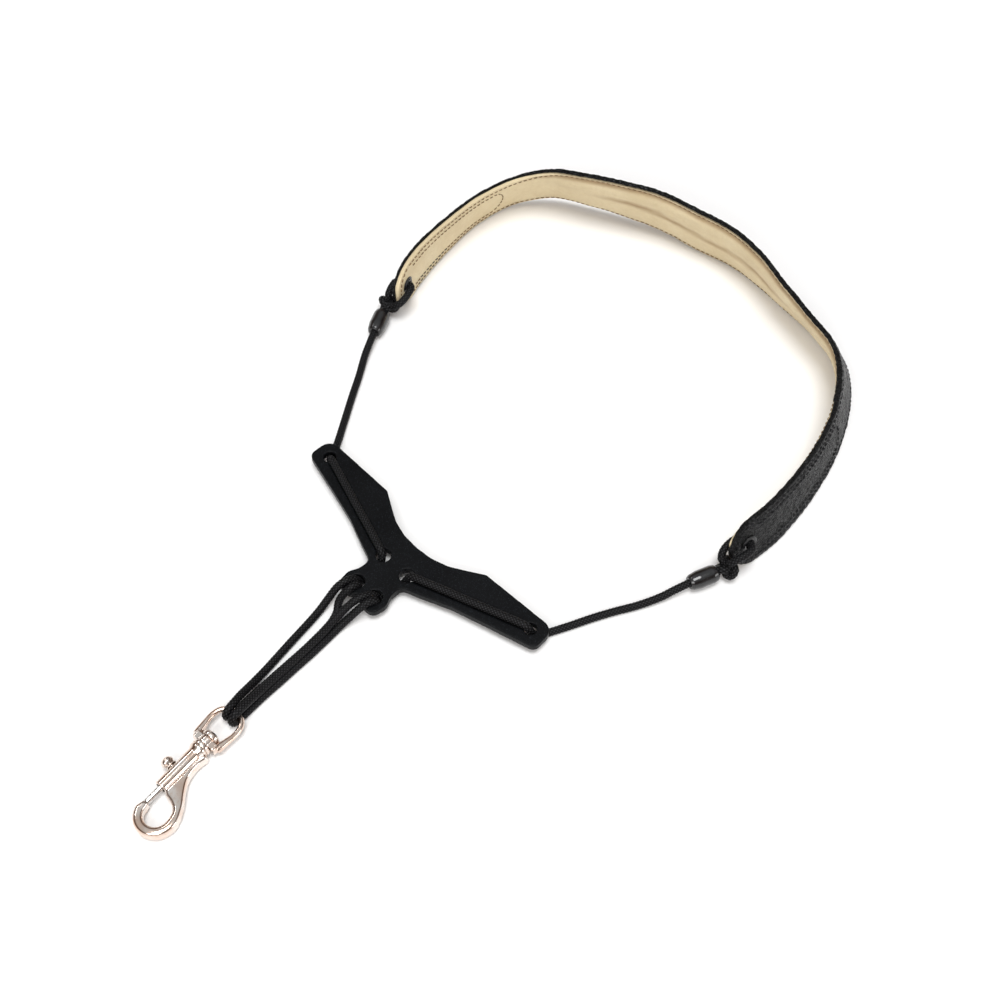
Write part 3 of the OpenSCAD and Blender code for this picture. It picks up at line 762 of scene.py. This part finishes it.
TIP_ANGLES = (5, 11, 18, 26, 34, 43, 52, 62, 72, 82)
tip_s = [TIP_ROUND * (1 - math.cos(math.radians(a))) for a in TIP_ANGLES]
GRID = 1.3 / PAD_STEP  # how far apart the rings of the band are


def between(a, b):
    count = max(int(round((b - a) / GRID)), 1)
    return [a + (b - a) * i / count for i in range(count + 1)]


whole_s = tip_s + between(TIP_ROUND, PAD_LAST - TIP_ROUND) + [PAD_LAST - s for s in reversed(tip_s)]
EDGE_STEPS = (0.0, 0.55, 1.2, 1.8, 2.2, 2.5, 2.8, 3.3, 4.2, 5.4, 6.6, 7.8, 9.0, 10.1, 11.1)


def across(half, inset):
    """Places across the band, closer together near its edges, from the lower edge to the upper."""
    side = [half - inset - e for e in EDGE_STEPS if half - inset - e > 0.8]
    return [-w for w in side] + [0.0] + side[::-1]


def spread(w, half, inset):
    """A place set out across a ring, moved to suit the band's own half width there."""
    inside = SET_OUT - inset
    share = 1 if abs(w) > MIDDLE else (half - inset) / inside
    return math.copysign(half - inset - (inside - abs(w)) * share, w) if w else 0.0


def band(name, places, low, high, inset, finish, edge_round=0.0, limit=None, lip=None):
    """A closed band between two faces, whose depths are functions of the place along and across."""
    rings = []
    count = None
    for s in places:
        c, up, face, half = pad_frame(s)
        tw = tip_width(s)
        row = [spread(w, half, inset) for w in across(SET_OUT, inset)]
        if limit:
            row = [w * limit for w in row]
        if lip:
            row = [w * (1 - lip(s) / half) if w > 0 else w for w in row]
        lows = [c + up * w * tw + face * low(s, w, half) for w in row]
        highs = [c + up * w * tw + face * high(s, w, half) for w in row]
        if edge_round:
            out = up * edge_round * tw
            lows[0], highs[0] = lows[0] + face * edge_round * 0.5, highs[0] - face * edge_round * 0.5
            lows[-1], highs[-1] = lows[-1] + face * edge_round * 0.5, highs[-1] - face * edge_round * 0.5
        rings.append(lows + highs[::-1])
        count = len(rings[-1])
    points = np.array(rings).reshape(-1, 3)
    obj = piece(name, to_row(points), ring_faces(len(places), count), finish)
    tidy(obj)
    return obj


def edge_lip(s):
    """How much more the lining's upper edge is set in than its lower one."""
    return 1.0 * smooth(3.5, 6, s)


def eyelet_matrix(s):
    c, up, face, half = pad_frame(s)
    z, x = Vector(face), Vector(up)
    turn = Matrix((x, z.cross(x), z)).transposed().to_4x4()
    return Matrix.Translation(Vector(to_row(c))) @ turn


EYELET_S = {"left": 8 / PAD_STEP, "right": PAD_LAST - 8 / PAD_STEP}
EYELET_R, TUBE_T, FLANGE_R, FLANGE_T = 2.0, 0.4, 3.9, 0.5


def eyelet_tools():
    for s in EYELET_S.values():
        tool = rod("bore", (0, 0, -6), (0, 0, 6), EYELET_R + TUBE_T + 0.05, BLACK_LEATHER)
        yield put(tool, eyelet_matrix(s))


TIP_TURN = 0.02  # how much of each tip is left to the outer leather's edge
LINING_IN = 0.6  # how far the lining is set in from the band's edge


def leather_inside(s, w, half):
    """The outer leather's upper edge turns over the side of the band, from the padding to the right end."""
    turned_in = 1.2 * smooth(3.5, 6, s) + 0.6 * smooth(14, 16, s)
    at_edge = w > half - 0.5 - 0.5 * padded_share(s) or s > PAD_LAST - TIP_TURN
    return MID_PLANE + (turned_in if at_edge else 0.0)


leather = band("neck_pad_leather", whole_s, leather_depth, leather_inside, 0.0, BLACK_LEATHER, 0.5)
cut(leather, *eyelet_tools())
lining_s = [s for s in whole_s if from_tip(s) > TIP_TURN]
lining = band("neck_pad_lining", lining_s,
              lambda s, w, half: min(MID_PLANE + 0.02, lining_depth(s, w, half) - 0.7),
              lining_depth, LINING_IN, LINING, 0.35, lip=edge_lip)
cut(lining, *eyelet_tools())


def nearest_place(points):
    """For each point, its place along the pad and across it."""
    marks = np.linspace(0, PAD_LAST, 1201)
    frames = [pad_frame(s) for s in marks]
    centres = np.array([f[0] for f in frames])
    out = []
    for p in points:
        i = int(np.argmin(((centres - p) ** 2).sum(1)))
        c, up, face, half = frames[i]
        out.append((marks[i], float((p - c).dot(up)), half))
    return out


# Painted shade for the lining's colour: darker along the padding's crease and in the grooves that the stitch
# rows pull in, and a little darker at the lining's edges.
crease_shade_and_dark_edges = []
for s, w, half in nearest_place(np.array([v.co for v in lining.data.vertices]) / MM - PLACE):
    groove = math.exp(-(((abs(w) - (half - ROW_IN - 0.5)) / 0.9) ** 2))
    edge = math.exp(-(((abs(w) - half) / 0.6) ** 2))
    where, strength = crease_at(s)
    fold = strength * math.exp(-(((w / half - where) / 0.06) ** 2))
    seam = groove * (0.10 + (0.72 if w > 0 else 0.2) * padded_share(s))
    crease_shade_and_dark_edges.append(min(1.0, 0.8 * fold + seam + 0.35 * edge))
lining.data.attributes.new("crease_shade_and_dark_edges", "FLOAT", "POINT").data.foreach_set("value", np.array(crease_shade_and_dark_edges, np.float32))

pebbles = bpy.data.textures.new("pebbles", "VORONOI")
pebbles.noise_scale = 0.0021
pebbles.noise_intensity = 1.0
puckers = bpy.data.textures.new("puckers", "CLOUDS")
puckers.noise_scale = 0.0065
puckers.noise_depth = 2
for obj, texture, amount in ((leather, pebbles, 0.45), (lining, puckers, 0.4)):
    fine = obj.modifiers.new("fine", "SUBSURF")
    fine.levels = fine.render_levels = 1
    relief = obj.modifiers.new("relief", "DISPLACE")
    relief.texture = texture
    relief.texture_coords = "LOCAL"
    relief.strength = amount * MM
    relief.mid_level = 0.5

fit_out(leather, "pad", "black_leather", "pad_outer")
fit_out(lining, "pad", "beige_leather", "pad_lining")



def under_filling(s, w, half):
    return MID_PLANE + CLEAR


def over_filling(s, w, half):
    return max(MID_PLANE + 2 * CLEAR, lining_depth(s, w, half) - SKIN)


foam_s = between(TAPE_END, PAD_LAST - TAPE_END)
filling = band("neck_pad_foam", foam_s, under_filling, over_filling, 0.0, FOAM, 0.0, SEAM - 0.04)
fit_out(filling, "pad", "foam", "pad_foam")
for side in ("left", "right"):
    places = [s for s in whole_s if 0.16 < from_tip(s) < TAPE_END and (s < 10) == (side == "left")]
    tape = band(f"end_webbing_{side}", places, under_filling, over_filling, 0.0, WEBBING, 0.0, SEAM - 0.06)
    tool = rod("bore", (0, 0, -6), (0, 0, 6), EYELET_R + TUBE_T + 0.05, WEBBING)
    cut(tape, put(tool, eyelet_matrix(EYELET_S[side])))
    fit_out(tape, "pad", "webbing", f"end_tape_{side}")


# ---- Eyelets ----

LIE_GAP = 0.15
outer_z = MID_PLANE - LEATHER_T - LIE_GAP
inner_z = MID_PLANE + TAPE_T + LINING_T + LIE_GAP
eyelet_profile = rounded([
    (EYELET_R, inner_z + FLANGE_T + 0.3, 0.1), (EYELET_R + TUBE_T + 0.5, inner_z + FLANGE_T + 0.3, 0.25),
    (EYELET_R + TUBE_T + 0.5, inner_z + FLANGE_T, 0), (EYELET_R + TUBE_T, inner_z + FLANGE_T, 0),
    (EYELET_R + TUBE_T, outer_z, 0), (FLANGE_R, outer_z, 0.1), (FLANGE_R, outer_z - 0.3, 0.25),
    (FLANGE_R - 0.9, outer_z - FLANGE_T - 0.15, 0.6), (EYELET_R, outer_z - FLANGE_T + 0.1, 0.3)], steps=4)
washer_profile = rounded([
    (EYELET_R + TUBE_T + 0.05, inner_z + FLANGE_T, 0.1), (FLANGE_R - 0.7, inner_z + FLANGE_T, 0.4),
    (FLANGE_R, inner_z + 0.2, 0.15), (FLANGE_R, inner_z, 0), (EYELET_R + TUBE_T + 0.05, inner_z, 0)], steps=4)
eyelet_rings = (("eyelet_ring", eyelet_profile, "eyelet"),
                ("eyelet_back_ring", washer_profile, "eyelet_washer"))
for side, s in EYELET_S.items():
    for name, profile, node in eyelet_rings:
        ring = turned(f"{name}_{side}", profile, ENAMEL, 48)
        put(ring, eyelet_matrix(s))
        fit_out(ring, "pad", "eyelet_metal", f"{node}_{side}")


# ---- Stitching ----

STITCH_PITCH, STITCH_L, THREAD_R, STITCH_LIFT = 2.5, 1.75, 0.26, 0.16
U_ROW_IN = 5.2   # the inner row, from the edge
U_FROM, U_TO, U_ROUND = 14.0, 73.0, 6.5  # where the U runs, and the length of its round end


def place_at(mm):
    """The place along the pad of a distance from the left tip, measured along the band's middle."""
    return float(np.interp(mm, pad_run, pad_marks))


pad_marks = np.linspace(0, PAD_LAST, 801)
pad_centres = np.array([pad_frame(s)[0] for s in pad_marks])
pad_run = np.concatenate([[0], np.cumsum(np.linalg.norm(np.diff(pad_centres, axis=0), axis=1))])
PAD_LENGTH = float(pad_run[-1])


def edge_row():
    """All round the band, a little inside its edge, as distances along and across."""
    tip = TIP_ROUND * PAD_STEP
    out = []
    for a in np.linspace(90, -90, 25)[1:-1]:
        out.append((tip - (tip - ROW_IN) * math.cos(math.radians(a)), ("tip", math.sin(math.radians(a)))))
    lower = [(x, ("edge", -1)) for x in np.linspace(tip, PAD_LENGTH - tip, 400)]
    far = [(PAD_LENGTH - x, side) for x, side in reversed(out)]
    upper = [(x, ("edge", 1)) for x in np.linspace(PAD_LENGTH - tip, tip, 400)]
    return out + lower + far + upper + out[:1]


def u_row(flip):
    """The long U inside the edge row at one end."""
    out = [(x, ("u", 1)) for x in np.linspace(U_FROM, U_TO, 80)]
    for a in range(80, -81, -10):
        out.append((U_TO + U_ROUND * math.cos(math.radians(a)), ("u", math.sin(math.radians(a)))))
    out += [(x, ("u", -1)) for x in np.linspace(U_TO, U_FROM, 80)]
    return [(PAD_LENGTH - x if flip else x, side) for x, side in out]


def row_points(row, depth, lift):
    points, normals = [], []
    for x, (kind, share) in row:
        s = place_at(x)
        c, up, face, half = pad_frame(s)
        w = share * (half - (U_ROW_IN if kind == "u" else ROW_IN))
        points.append(c + up * w + face * (depth(s, w, half) + lift))
        normals.append(face if lift > 0 else -face)
    return np.array(points), np.array(normals)


def stitches(name, rows, finish, slot):
    """One dash of thread after another along rows of (points, normals)."""
    points, faces = [], []
    sides = 6
    shape = [(-0.5, 0.35, -0.22), (-0.36, 0.9, 0.02), (0.0, 1.0, 0.10), (0.36, 0.9, 0.02), (0.5, 0.35, -0.22)]
    for path, normal, keep in rows:
        run = np.concatenate([[0], np.cumsum(np.linalg.norm(np.diff(path, axis=0), axis=1))])
        for i in range(int(run[-1] / STITCH_PITCH)):
            at = (i + 0.5) * STITCH_PITCH
            p = np.array([np.interp(at, run, path[:, k]) for k in range(3)])
            n = unit([np.interp(at, run, normal[:, k]) for k in range(3)])
            q = np.array([np.interp(at + 0.4, run, path[:, k]) for k in range(3)])
            if not keep(at / run[-1]) or np.linalg.norm(q - p) < 1e-6:
                continue
            d = unit(q - p)
            b = np.cross(d, n)
            first = len(points)
            for along, size, lift in shape:
                c = p + d * along * STITCH_L + n * lift
                for j in range(sides):
                    angle = 2 * math.pi * j / sides
                    points.append(c + THREAD_R * size * (math.cos(angle) * n + math.sin(angle) * b))
            faces += [tuple(first + k for k in f) for f in ring_faces(len(shape), sides)]
    obj = piece(name, to_row(points), faces, finish)
    tidy(obj, 1e-8)
    return fit_out(obj, "pad", slot)


def part(low, high, kept=True):
    """Which shares of a row get stitches: those between two places, or all but those."""
    return lambda share: (low < share < high) == kept


ALL = part(-1, 2)
DARK_U, DARK_EDGE = (0.79, 0.95), (0.044, 0.070)  # the shares of two rows that are in darker thread

lining_edge = row_points(edge_row(), lining_depth, STITCH_LIFT)
lining_u = [row_points(u_row(flip), lining_depth, STITCH_LIFT) for flip in (False, True)]
leather_edge = row_points(edge_row(), leather_depth, -STITCH_LIFT)
leather_u = [row_points(u_row(flip), leather_depth, -STITCH_LIFT) for flip in (False, True)]
light_rows = [(*lining_edge, part(*DARK_EDGE, False)), (*lining_u[0], part(*DARK_U, False)),
              (*lining_u[1], ALL)]
dark_rows = [(*lining_edge, part(*DARK_EDGE)), (*lining_u[0], part(*DARK_U))]
stitches("lining_stitches", light_rows, TAN_THREAD, "beige_leather")
stitches("lining_dark_stitches", dark_rows, DARK_THREAD, "beige_leather")
leather_rows = [(*row, ALL) for row in (leather_edge, *leather_u)]
stitches("leather_stitches", leather_rows, BLACK_THREAD, "black_leather")


# ---- Slide plate ----

PLATE_T, PLATE_Z = 3.5, 3.2
TIP_HOLE, TIP_HOLE_R = (59.4, 33.4), 2.7
INNER_HOLE, LUG_HOLE, HOLE_R = (7.0, 15.9), (5.2, 0.0), 3.3
GROOVE_R, GROOVE_SINK = 1.9, 0.6
half_outline = [
    (0, 28, 0), (8, 28.6, 14), (15.5, 30.8, 14), (23, 35, 14), (29.4, 38.8, 2.5), (66, 39.8, 5),
    (66.7, 28.3, 3.5), (45, 22.6, 60), (30, 18.4, 30), (17, 13.2, 5), (9, 10.4, 5), (9.4, 4.8, 3),
    (11.4, 0.6, 4),
    (10.4, -6.4, 5), (3.6, -6.2, 3), (0, -3.6, 0)]
right_half = []
for i, (x, y, r) in enumerate(half_outline):
    if r == 0:
        right_half.append((x, y))
    else:
        right_half += corner(half_outline[i - 1][:2], (x, y), half_outline[i + 1][:2], r, 10)
outline = right_half + [(-x, y) for x, y in right_half[-2:0:-1]]
plate = slab("v_plate_moulding", outline, PLATE_Z, PLATE_Z + PLATE_T, PLATE)
HOLE_EASE = 0.05  # how much smaller in radius the holes are cut than their nominal size
for side in (-1, 1):
    for (x, y), r in ((TIP_HOLE, TIP_HOLE_R), (INNER_HOLE, HOLE_R), (LUG_HOLE, HOLE_R)):
        ends = [(side * x, y, z) for z in (PLATE_Z - 2, PLATE_Z + PLATE_T + 2)]
        cut(plate, rod("hole", *ends, r - HOLE_EASE, PLATE))
    ends = [(side * x, y, PLATE_Z + PLATE_T + GROOVE_SINK) for x, y in (INNER_HOLE, TIP_HOLE)]
    cut(plate, rod("groove", *ends, GROOVE_R, PLATE))
cast(plate, 0.3, 9)
put(plate, Matrix.Translation(Vector(PLACE * MM)))
fit_out(plate, "plate", "plate_plastic", "v_plate")


# ---- Snap hook ----

HOOK_AT = np.array([6.4, -86.1, 4.3])
HOOK_TURN = math.radians(6.3)
on_hook = Matrix.Translation(Vector((PLACE + HOOK_AT) * MM)) @ Matrix.Rotation(HOOK_TURN, 4, "Z")
on_axis = on_hook @ Matrix.Rotation(math.radians(90), 4, "X")
on_stud = on_hook @ Matrix.Translation((0, -16.3 * MM, 0)) @ Matrix.Rotation(math.radians(-90), 4, "Y")

WIRE_R, BASE_W, BASE_T, BASE_H, BOSS_R, RIVET_R = 1.2, 11.4, 2.8, 4.6, 3.2, 1.7
BASE_ROUND = 1.3
stirrup_half = [(5.2, -1.2, 0), (5.9, 3.4, 0), (6.4, 7.6, 0), (5.8, 11.2, 0), (3.6, 13.8, 0), (0, 14.6, 0)]
stirrup_route = stirrup_half + [(-x, y, z) for x, y, z in stirrup_half[-2::-1]]
bow = np.array([read(stirrup_route, s) for s in np.linspace(0, len(stirrup_route) - 1, 61)])
thick = [WIRE_R + 0.55 * (1 - smooth(-1.2, 7.5, y)) for x, y, z in bow]
stirrup = pipe("stirrup_casting", bow, thick, NICKEL, 24)
base_corners = ((-1, -1), (1, -1), (1, 1), (-1, 1))
base_outline = rounded([(x * BASE_W / 2, y * BASE_H / 2, BASE_ROUND) for x, y in base_corners])
base = slab("base", base_outline, 0, BASE_T, NICKEL)
put(base, Matrix.Rotation(math.radians(90), 4, "X"))
cut(stirrup, base, rod("boss", (0, 0, 0), (0, -BASE_T, 0), BOSS_R, NICKEL), how="UNION")
cast(stirrup, 0.2, 5)
cut(stirrup, rod("rivet hole", (0, -4, 0), (0, 2, 0), RIVET_R + 0.08, NICKEL))
put(stirrup, on_hook)
fit_out(stirrup, "stirrup", "polished_nickel", "stirrup")

GAP, HEAD_R, HEAD_T, COLLAR_R, COLLAR_T = 0.15, 3.8, 2.6, 3.9, 1.6


def down(items, steps=5):
    """A profile along the hook's axis, whose heights count from the swivel towards the hook."""
    return rounded(items, closed=False, steps=steps)


rivet = turned("swivel_rivet_head", down([
    (0, BASE_T + GAP + COLLAR_T, 0), (RIVET_R, BASE_T + GAP + COLLAR_T, 0.05), (RIVET_R, -GAP, 0.05),
    (HEAD_R, -GAP, 0.45), (HEAD_R, -GAP - HEAD_T + 0.9, 0.8), (HEAD_R - 1.1, -GAP - HEAD_T, 0.8),
    (0, -GAP - HEAD_T, 0)]), NICKEL)
put(rivet, on_axis)
fit_out(rivet, "hook", "polished_nickel", "swivel_rivet")
collar_z = BASE_T + GAP
collar = turned("swivel_collar_ring", rounded([
    (RIVET_R + 0.02, collar_z + COLLAR_T, 0.05), (COLLAR_R, collar_z + COLLAR_T, 0.35),
    (COLLAR_R, collar_z, 0.5), (RIVET_R + 0.02, collar_z, 0.05)], steps=5), NICKEL)
put(collar, on_axis)
fit_out(collar, "hook", "polished_nickel", "swivel_collar")

BARREL_TOP = BASE_T + GAP + COLLAR_T
BARREL_R, BARREL_END, BORE_R, BORE_TOP = 2.9, 25.2, 2.1, 6.4
EYE_AT, EYE_R, RING_R, TIP_Y = np.array([6.5, -33.7]), 4.9, 8.8, 32.4
JAW_T, JAW_DROP = 5.5, 1.1
SLOT_W, SLOT_FROM, SLOT_TO, BOLT_R = 2.4, 8.6, 17.6, 1.25
arm_outer = [(2.5, -BARREL_TOP), (5.2, -6), (4.8, -9), (4.9, -13), (6, -17), (8.6, -21), (11.7, -25),
             (14, -29)]
arm_inner = [(11.1, -31.4), (10.3, -29.4), (8.6, -27.8), (6.4, -26.8), (3.8, -26.2), (2, -25)]


def eased(items):
    return [tuple(read(items, i / 6)) for i in range((len(items) - 1) * 6 + 1)]


def arc(r, start, end, step):
    return [tuple(EYE_AT + r * np.array([math.cos(math.radians(a)), math.sin(math.radians(a))]))
            for a in np.arange(start, end, step)]


JAW_ROUND = 1.95  # how far in from the casting's outline its faces are rounded
JAW_RIM = 0.5     # the share of its thickness that the casting keeps at its outline


def edge_distance(loop, at):
    """How far a place is from a closed outline."""
    step = np.roll(loop, -1, axis=0) - loop
    share = ((at - loop) * step).sum(1) / np.maximum((step ** 2).sum(1), 1e-9)
    near = loop + np.clip(share, 0, 1)[:, None] * step
    return float(np.sqrt(((near - at) ** 2).sum(1).min()))


jaw_outline = (eased(arm_outer) + arc(RING_R, 15, -165.1, -6) + [(-1.25, -TIP_Y), (1.3, -TIP_Y)]
               + arc(EYE_R, -160, 12.1, 6) + eased(arm_inner))
jaw = slab("hook_casting", jaw_outline, -JAW_T / 2 - JAW_DROP, JAW_T / 2 - JAW_DROP, NICKEL)
cast(jaw, 0.25, 8)
edge = np.array(jaw_outline)
for vertex in jaw.data.vertices:
    at = np.array(vertex.co[:2]) / MM
    inside = min(edge_distance(edge, at) / JAW_ROUND, 1.0)
    middle = -JAW_DROP * MM
    kept = JAW_RIM + (1 - JAW_RIM) * math.sqrt(1 - (1 - inside) ** 2)
    vertex.co.z = middle + (vertex.co.z - middle) * kept
barrel = turned("barrel", down([
    (0, BARREL_TOP, 0), (3.8, BARREL_TOP, 0.4), (3.8, BARREL_TOP + 1.3, 0.8),
    (BARREL_R, BARREL_TOP + 2.9, 1.2), (BARREL_R, BARREL_END, 0.35), (0, BARREL_END, 0)]), NICKEL)
put(barrel, Matrix.Rotation(math.radians(90), 4, "X"))
cut(jaw, barrel, how="UNION")
cast(jaw, 0.2, 2)
slot_outline = rounded([(-8, -SLOT_TO, 0), (0, -SLOT_TO, 1.1), (0, -SLOT_FROM, 1.1), (-8, -SLOT_FROM, 0)])
slot_tool = slab("slot", slot_outline, -SLOT_W / 2, SLOT_W / 2, NICKEL)
cut(jaw, rod("bore", (0, -BORE_TOP, 0), (0, -BORE_TOP - 19.2, 0), BORE_R, NICKEL), slot_tool,
    rod("notch", (0, -TIP_Y + 2, 0), (0, -TIP_Y - 0.6, 0), BOLT_R + 0.15, NICKEL))
jaw.data.set_sharp_from_angle(angle=math.radians(55))
put(jaw, on_hook)
fit_out(jaw, "hook", "polished_nickel", "hook_body")

PISTON_FROM, PISTON_TO, BOLT_END = 15.2, 17.4, 32.7
bolt = turned("spring_bolt", down([
    (0, PISTON_FROM, 0), (BORE_R - 0.06, PISTON_FROM, 0.25), (BORE_R - 0.06, PISTON_TO, 0.25),
    (BOLT_R, PISTON_TO, 0.15), (BOLT_R, BOLT_END, 0.55), (0, BOLT_END, 0)]), STEEL, 48)
put(bolt, on_axis)
fit_out(bolt, "bolt", "bolt_steel", "bolt_rod")
stud = turned("thumb_stud_knob", down([
    (0, 7.4, 0), (1.5, 7.4, 1.2), (2.6, 6.0, 1.6), (2.6, 4.9, 1.2), (1.75, 3.75, 0.5), (1.5, 3.55, 0.15),
    (2.3, 3.3, 0.2), (2.3, 2.95, 0.2), (1.0, 2.95, 0.1), (1.0, BORE_R - 0.06, 0),
    (0, BORE_R - 0.06, 0)]), NICKEL, 48)
put(stud, on_stud)
fit_out(stud, "bolt", "polished_nickel", "thumb_stud")

SPRING_R, SPRING_WIRE, SPRING_TURNS = 1.45, 0.2, 5
spring_l = PISTON_FROM - BORE_TOP - 2 * SPRING_WIRE - 0.1
turns = np.linspace(0, 1, SPRING_TURNS * 24 + 1)
coil = np.stack([SPRING_R * np.cos(turns * SPRING_TURNS * 2 * math.pi),
                 -BORE_TOP - SPRING_WIRE - 0.05 - spring_l * turns,
                 SPRING_R * np.sin(turns * SPRING_TURNS * 2 * math.pi)], axis=1)
spring = pipe("bolt_spring_coil", coil, [SPRING_WIRE] * len(coil), STEEL, 10)
put(spring, on_hook)
fit_out(spring, "hook", "bolt_steel", "bolt_spring")
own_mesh(spring)


# ---- Floor and light ----

floor_finish = Finish("floor", (0.9, 0.9, 0.9), 0.75, Specular_IOR_Level=0.2)
floor_finish = floor_finish.done(floor_finish.mix(floor_finish.span(floor_finish.noise(400.0), 0.3, 0.7),
                                                  (0.9, 0.9, 0.9, 1), (0.915, 0.915, 0.91, 1)))
floor = piece("floor", [(-40, -40, 0), (40, -40, 0), (40, 40, 0), (-40, 40, 0)], [(0, 1, 2, 3)], floor_finish)


def lamp(name, where, aim, size, power, colour=(1, 1, 1)):
    data = bpy.data.lights.new(name, "AREA")
    data.shape = "RECTANGLE"
    data.size, data.size_y = size
    data.energy = power
    data.color = colour
    obj = bpy.data.objects.new(name, data)
    obj.location = where
    obj.rotation_euler = (Vector(aim) - Vector(where)).to_track_quat("-Z", "Y").to_euler()
    scene.collection.objects.link(obj)


sun = bpy.data.objects.new("key", bpy.data.lights.new("key", "SUN"))
sun.data.energy = 1.9
sun.data.angle = math.radians(28)
sun.rotation_euler = Vector((0.2, -0.1, 1.6)).to_track_quat("Z", "Y").to_euler()
scene.collection.objects.link(sun)
lamp("front", (0.55, -1.0, 0.85), (0, 0.05, 0), (0.9, 0.5), 8)
lamp("side", (1.25, 0.55, 0.45), (0.05, 0.05, 0), (0.7, 0.4), 3.5)
lamp("strip", (-0.8, -0.15, 0.9), (0, 0, 0), (0.4, 0.07), 1.3)

world = bpy.data.worlds.new("studio")
world.use_nodes = True
scene.world = world
tree = world.node_tree
backdrop = tree.nodes["Background"]
where = tree.nodes.new("ShaderNodeTexCoord")
split = tree.nodes.new("ShaderNodeSeparateXYZ")
shades = tree.nodes.new("ShaderNodeValToRGB")
tree.links.new(where.outputs["Generated"], split.inputs[0])
tree.links.new(split.outputs["Z"], shades.inputs[0])
tree.links.new(shades.outputs[0], backdrop.inputs["Color"])
# from the horizon up: pale, dark brown, then light grey overhead
stops = [(0.0, (0.95, 0.95, 0.94)), (0.2, (0.6, 0.57, 0.55)), (0.3, (0.16, 0.09, 0.06)),
         (0.56, (0.14, 0.08, 0.055)), (0.68, (0.38, 0.36, 0.35)), (0.8, (0.63, 0.65, 0.66))]
fill_ramp(shades, stops)
backdrop.inputs["Strength"].default_value = 0.9
scene.view_settings.view_transform = "Standard"
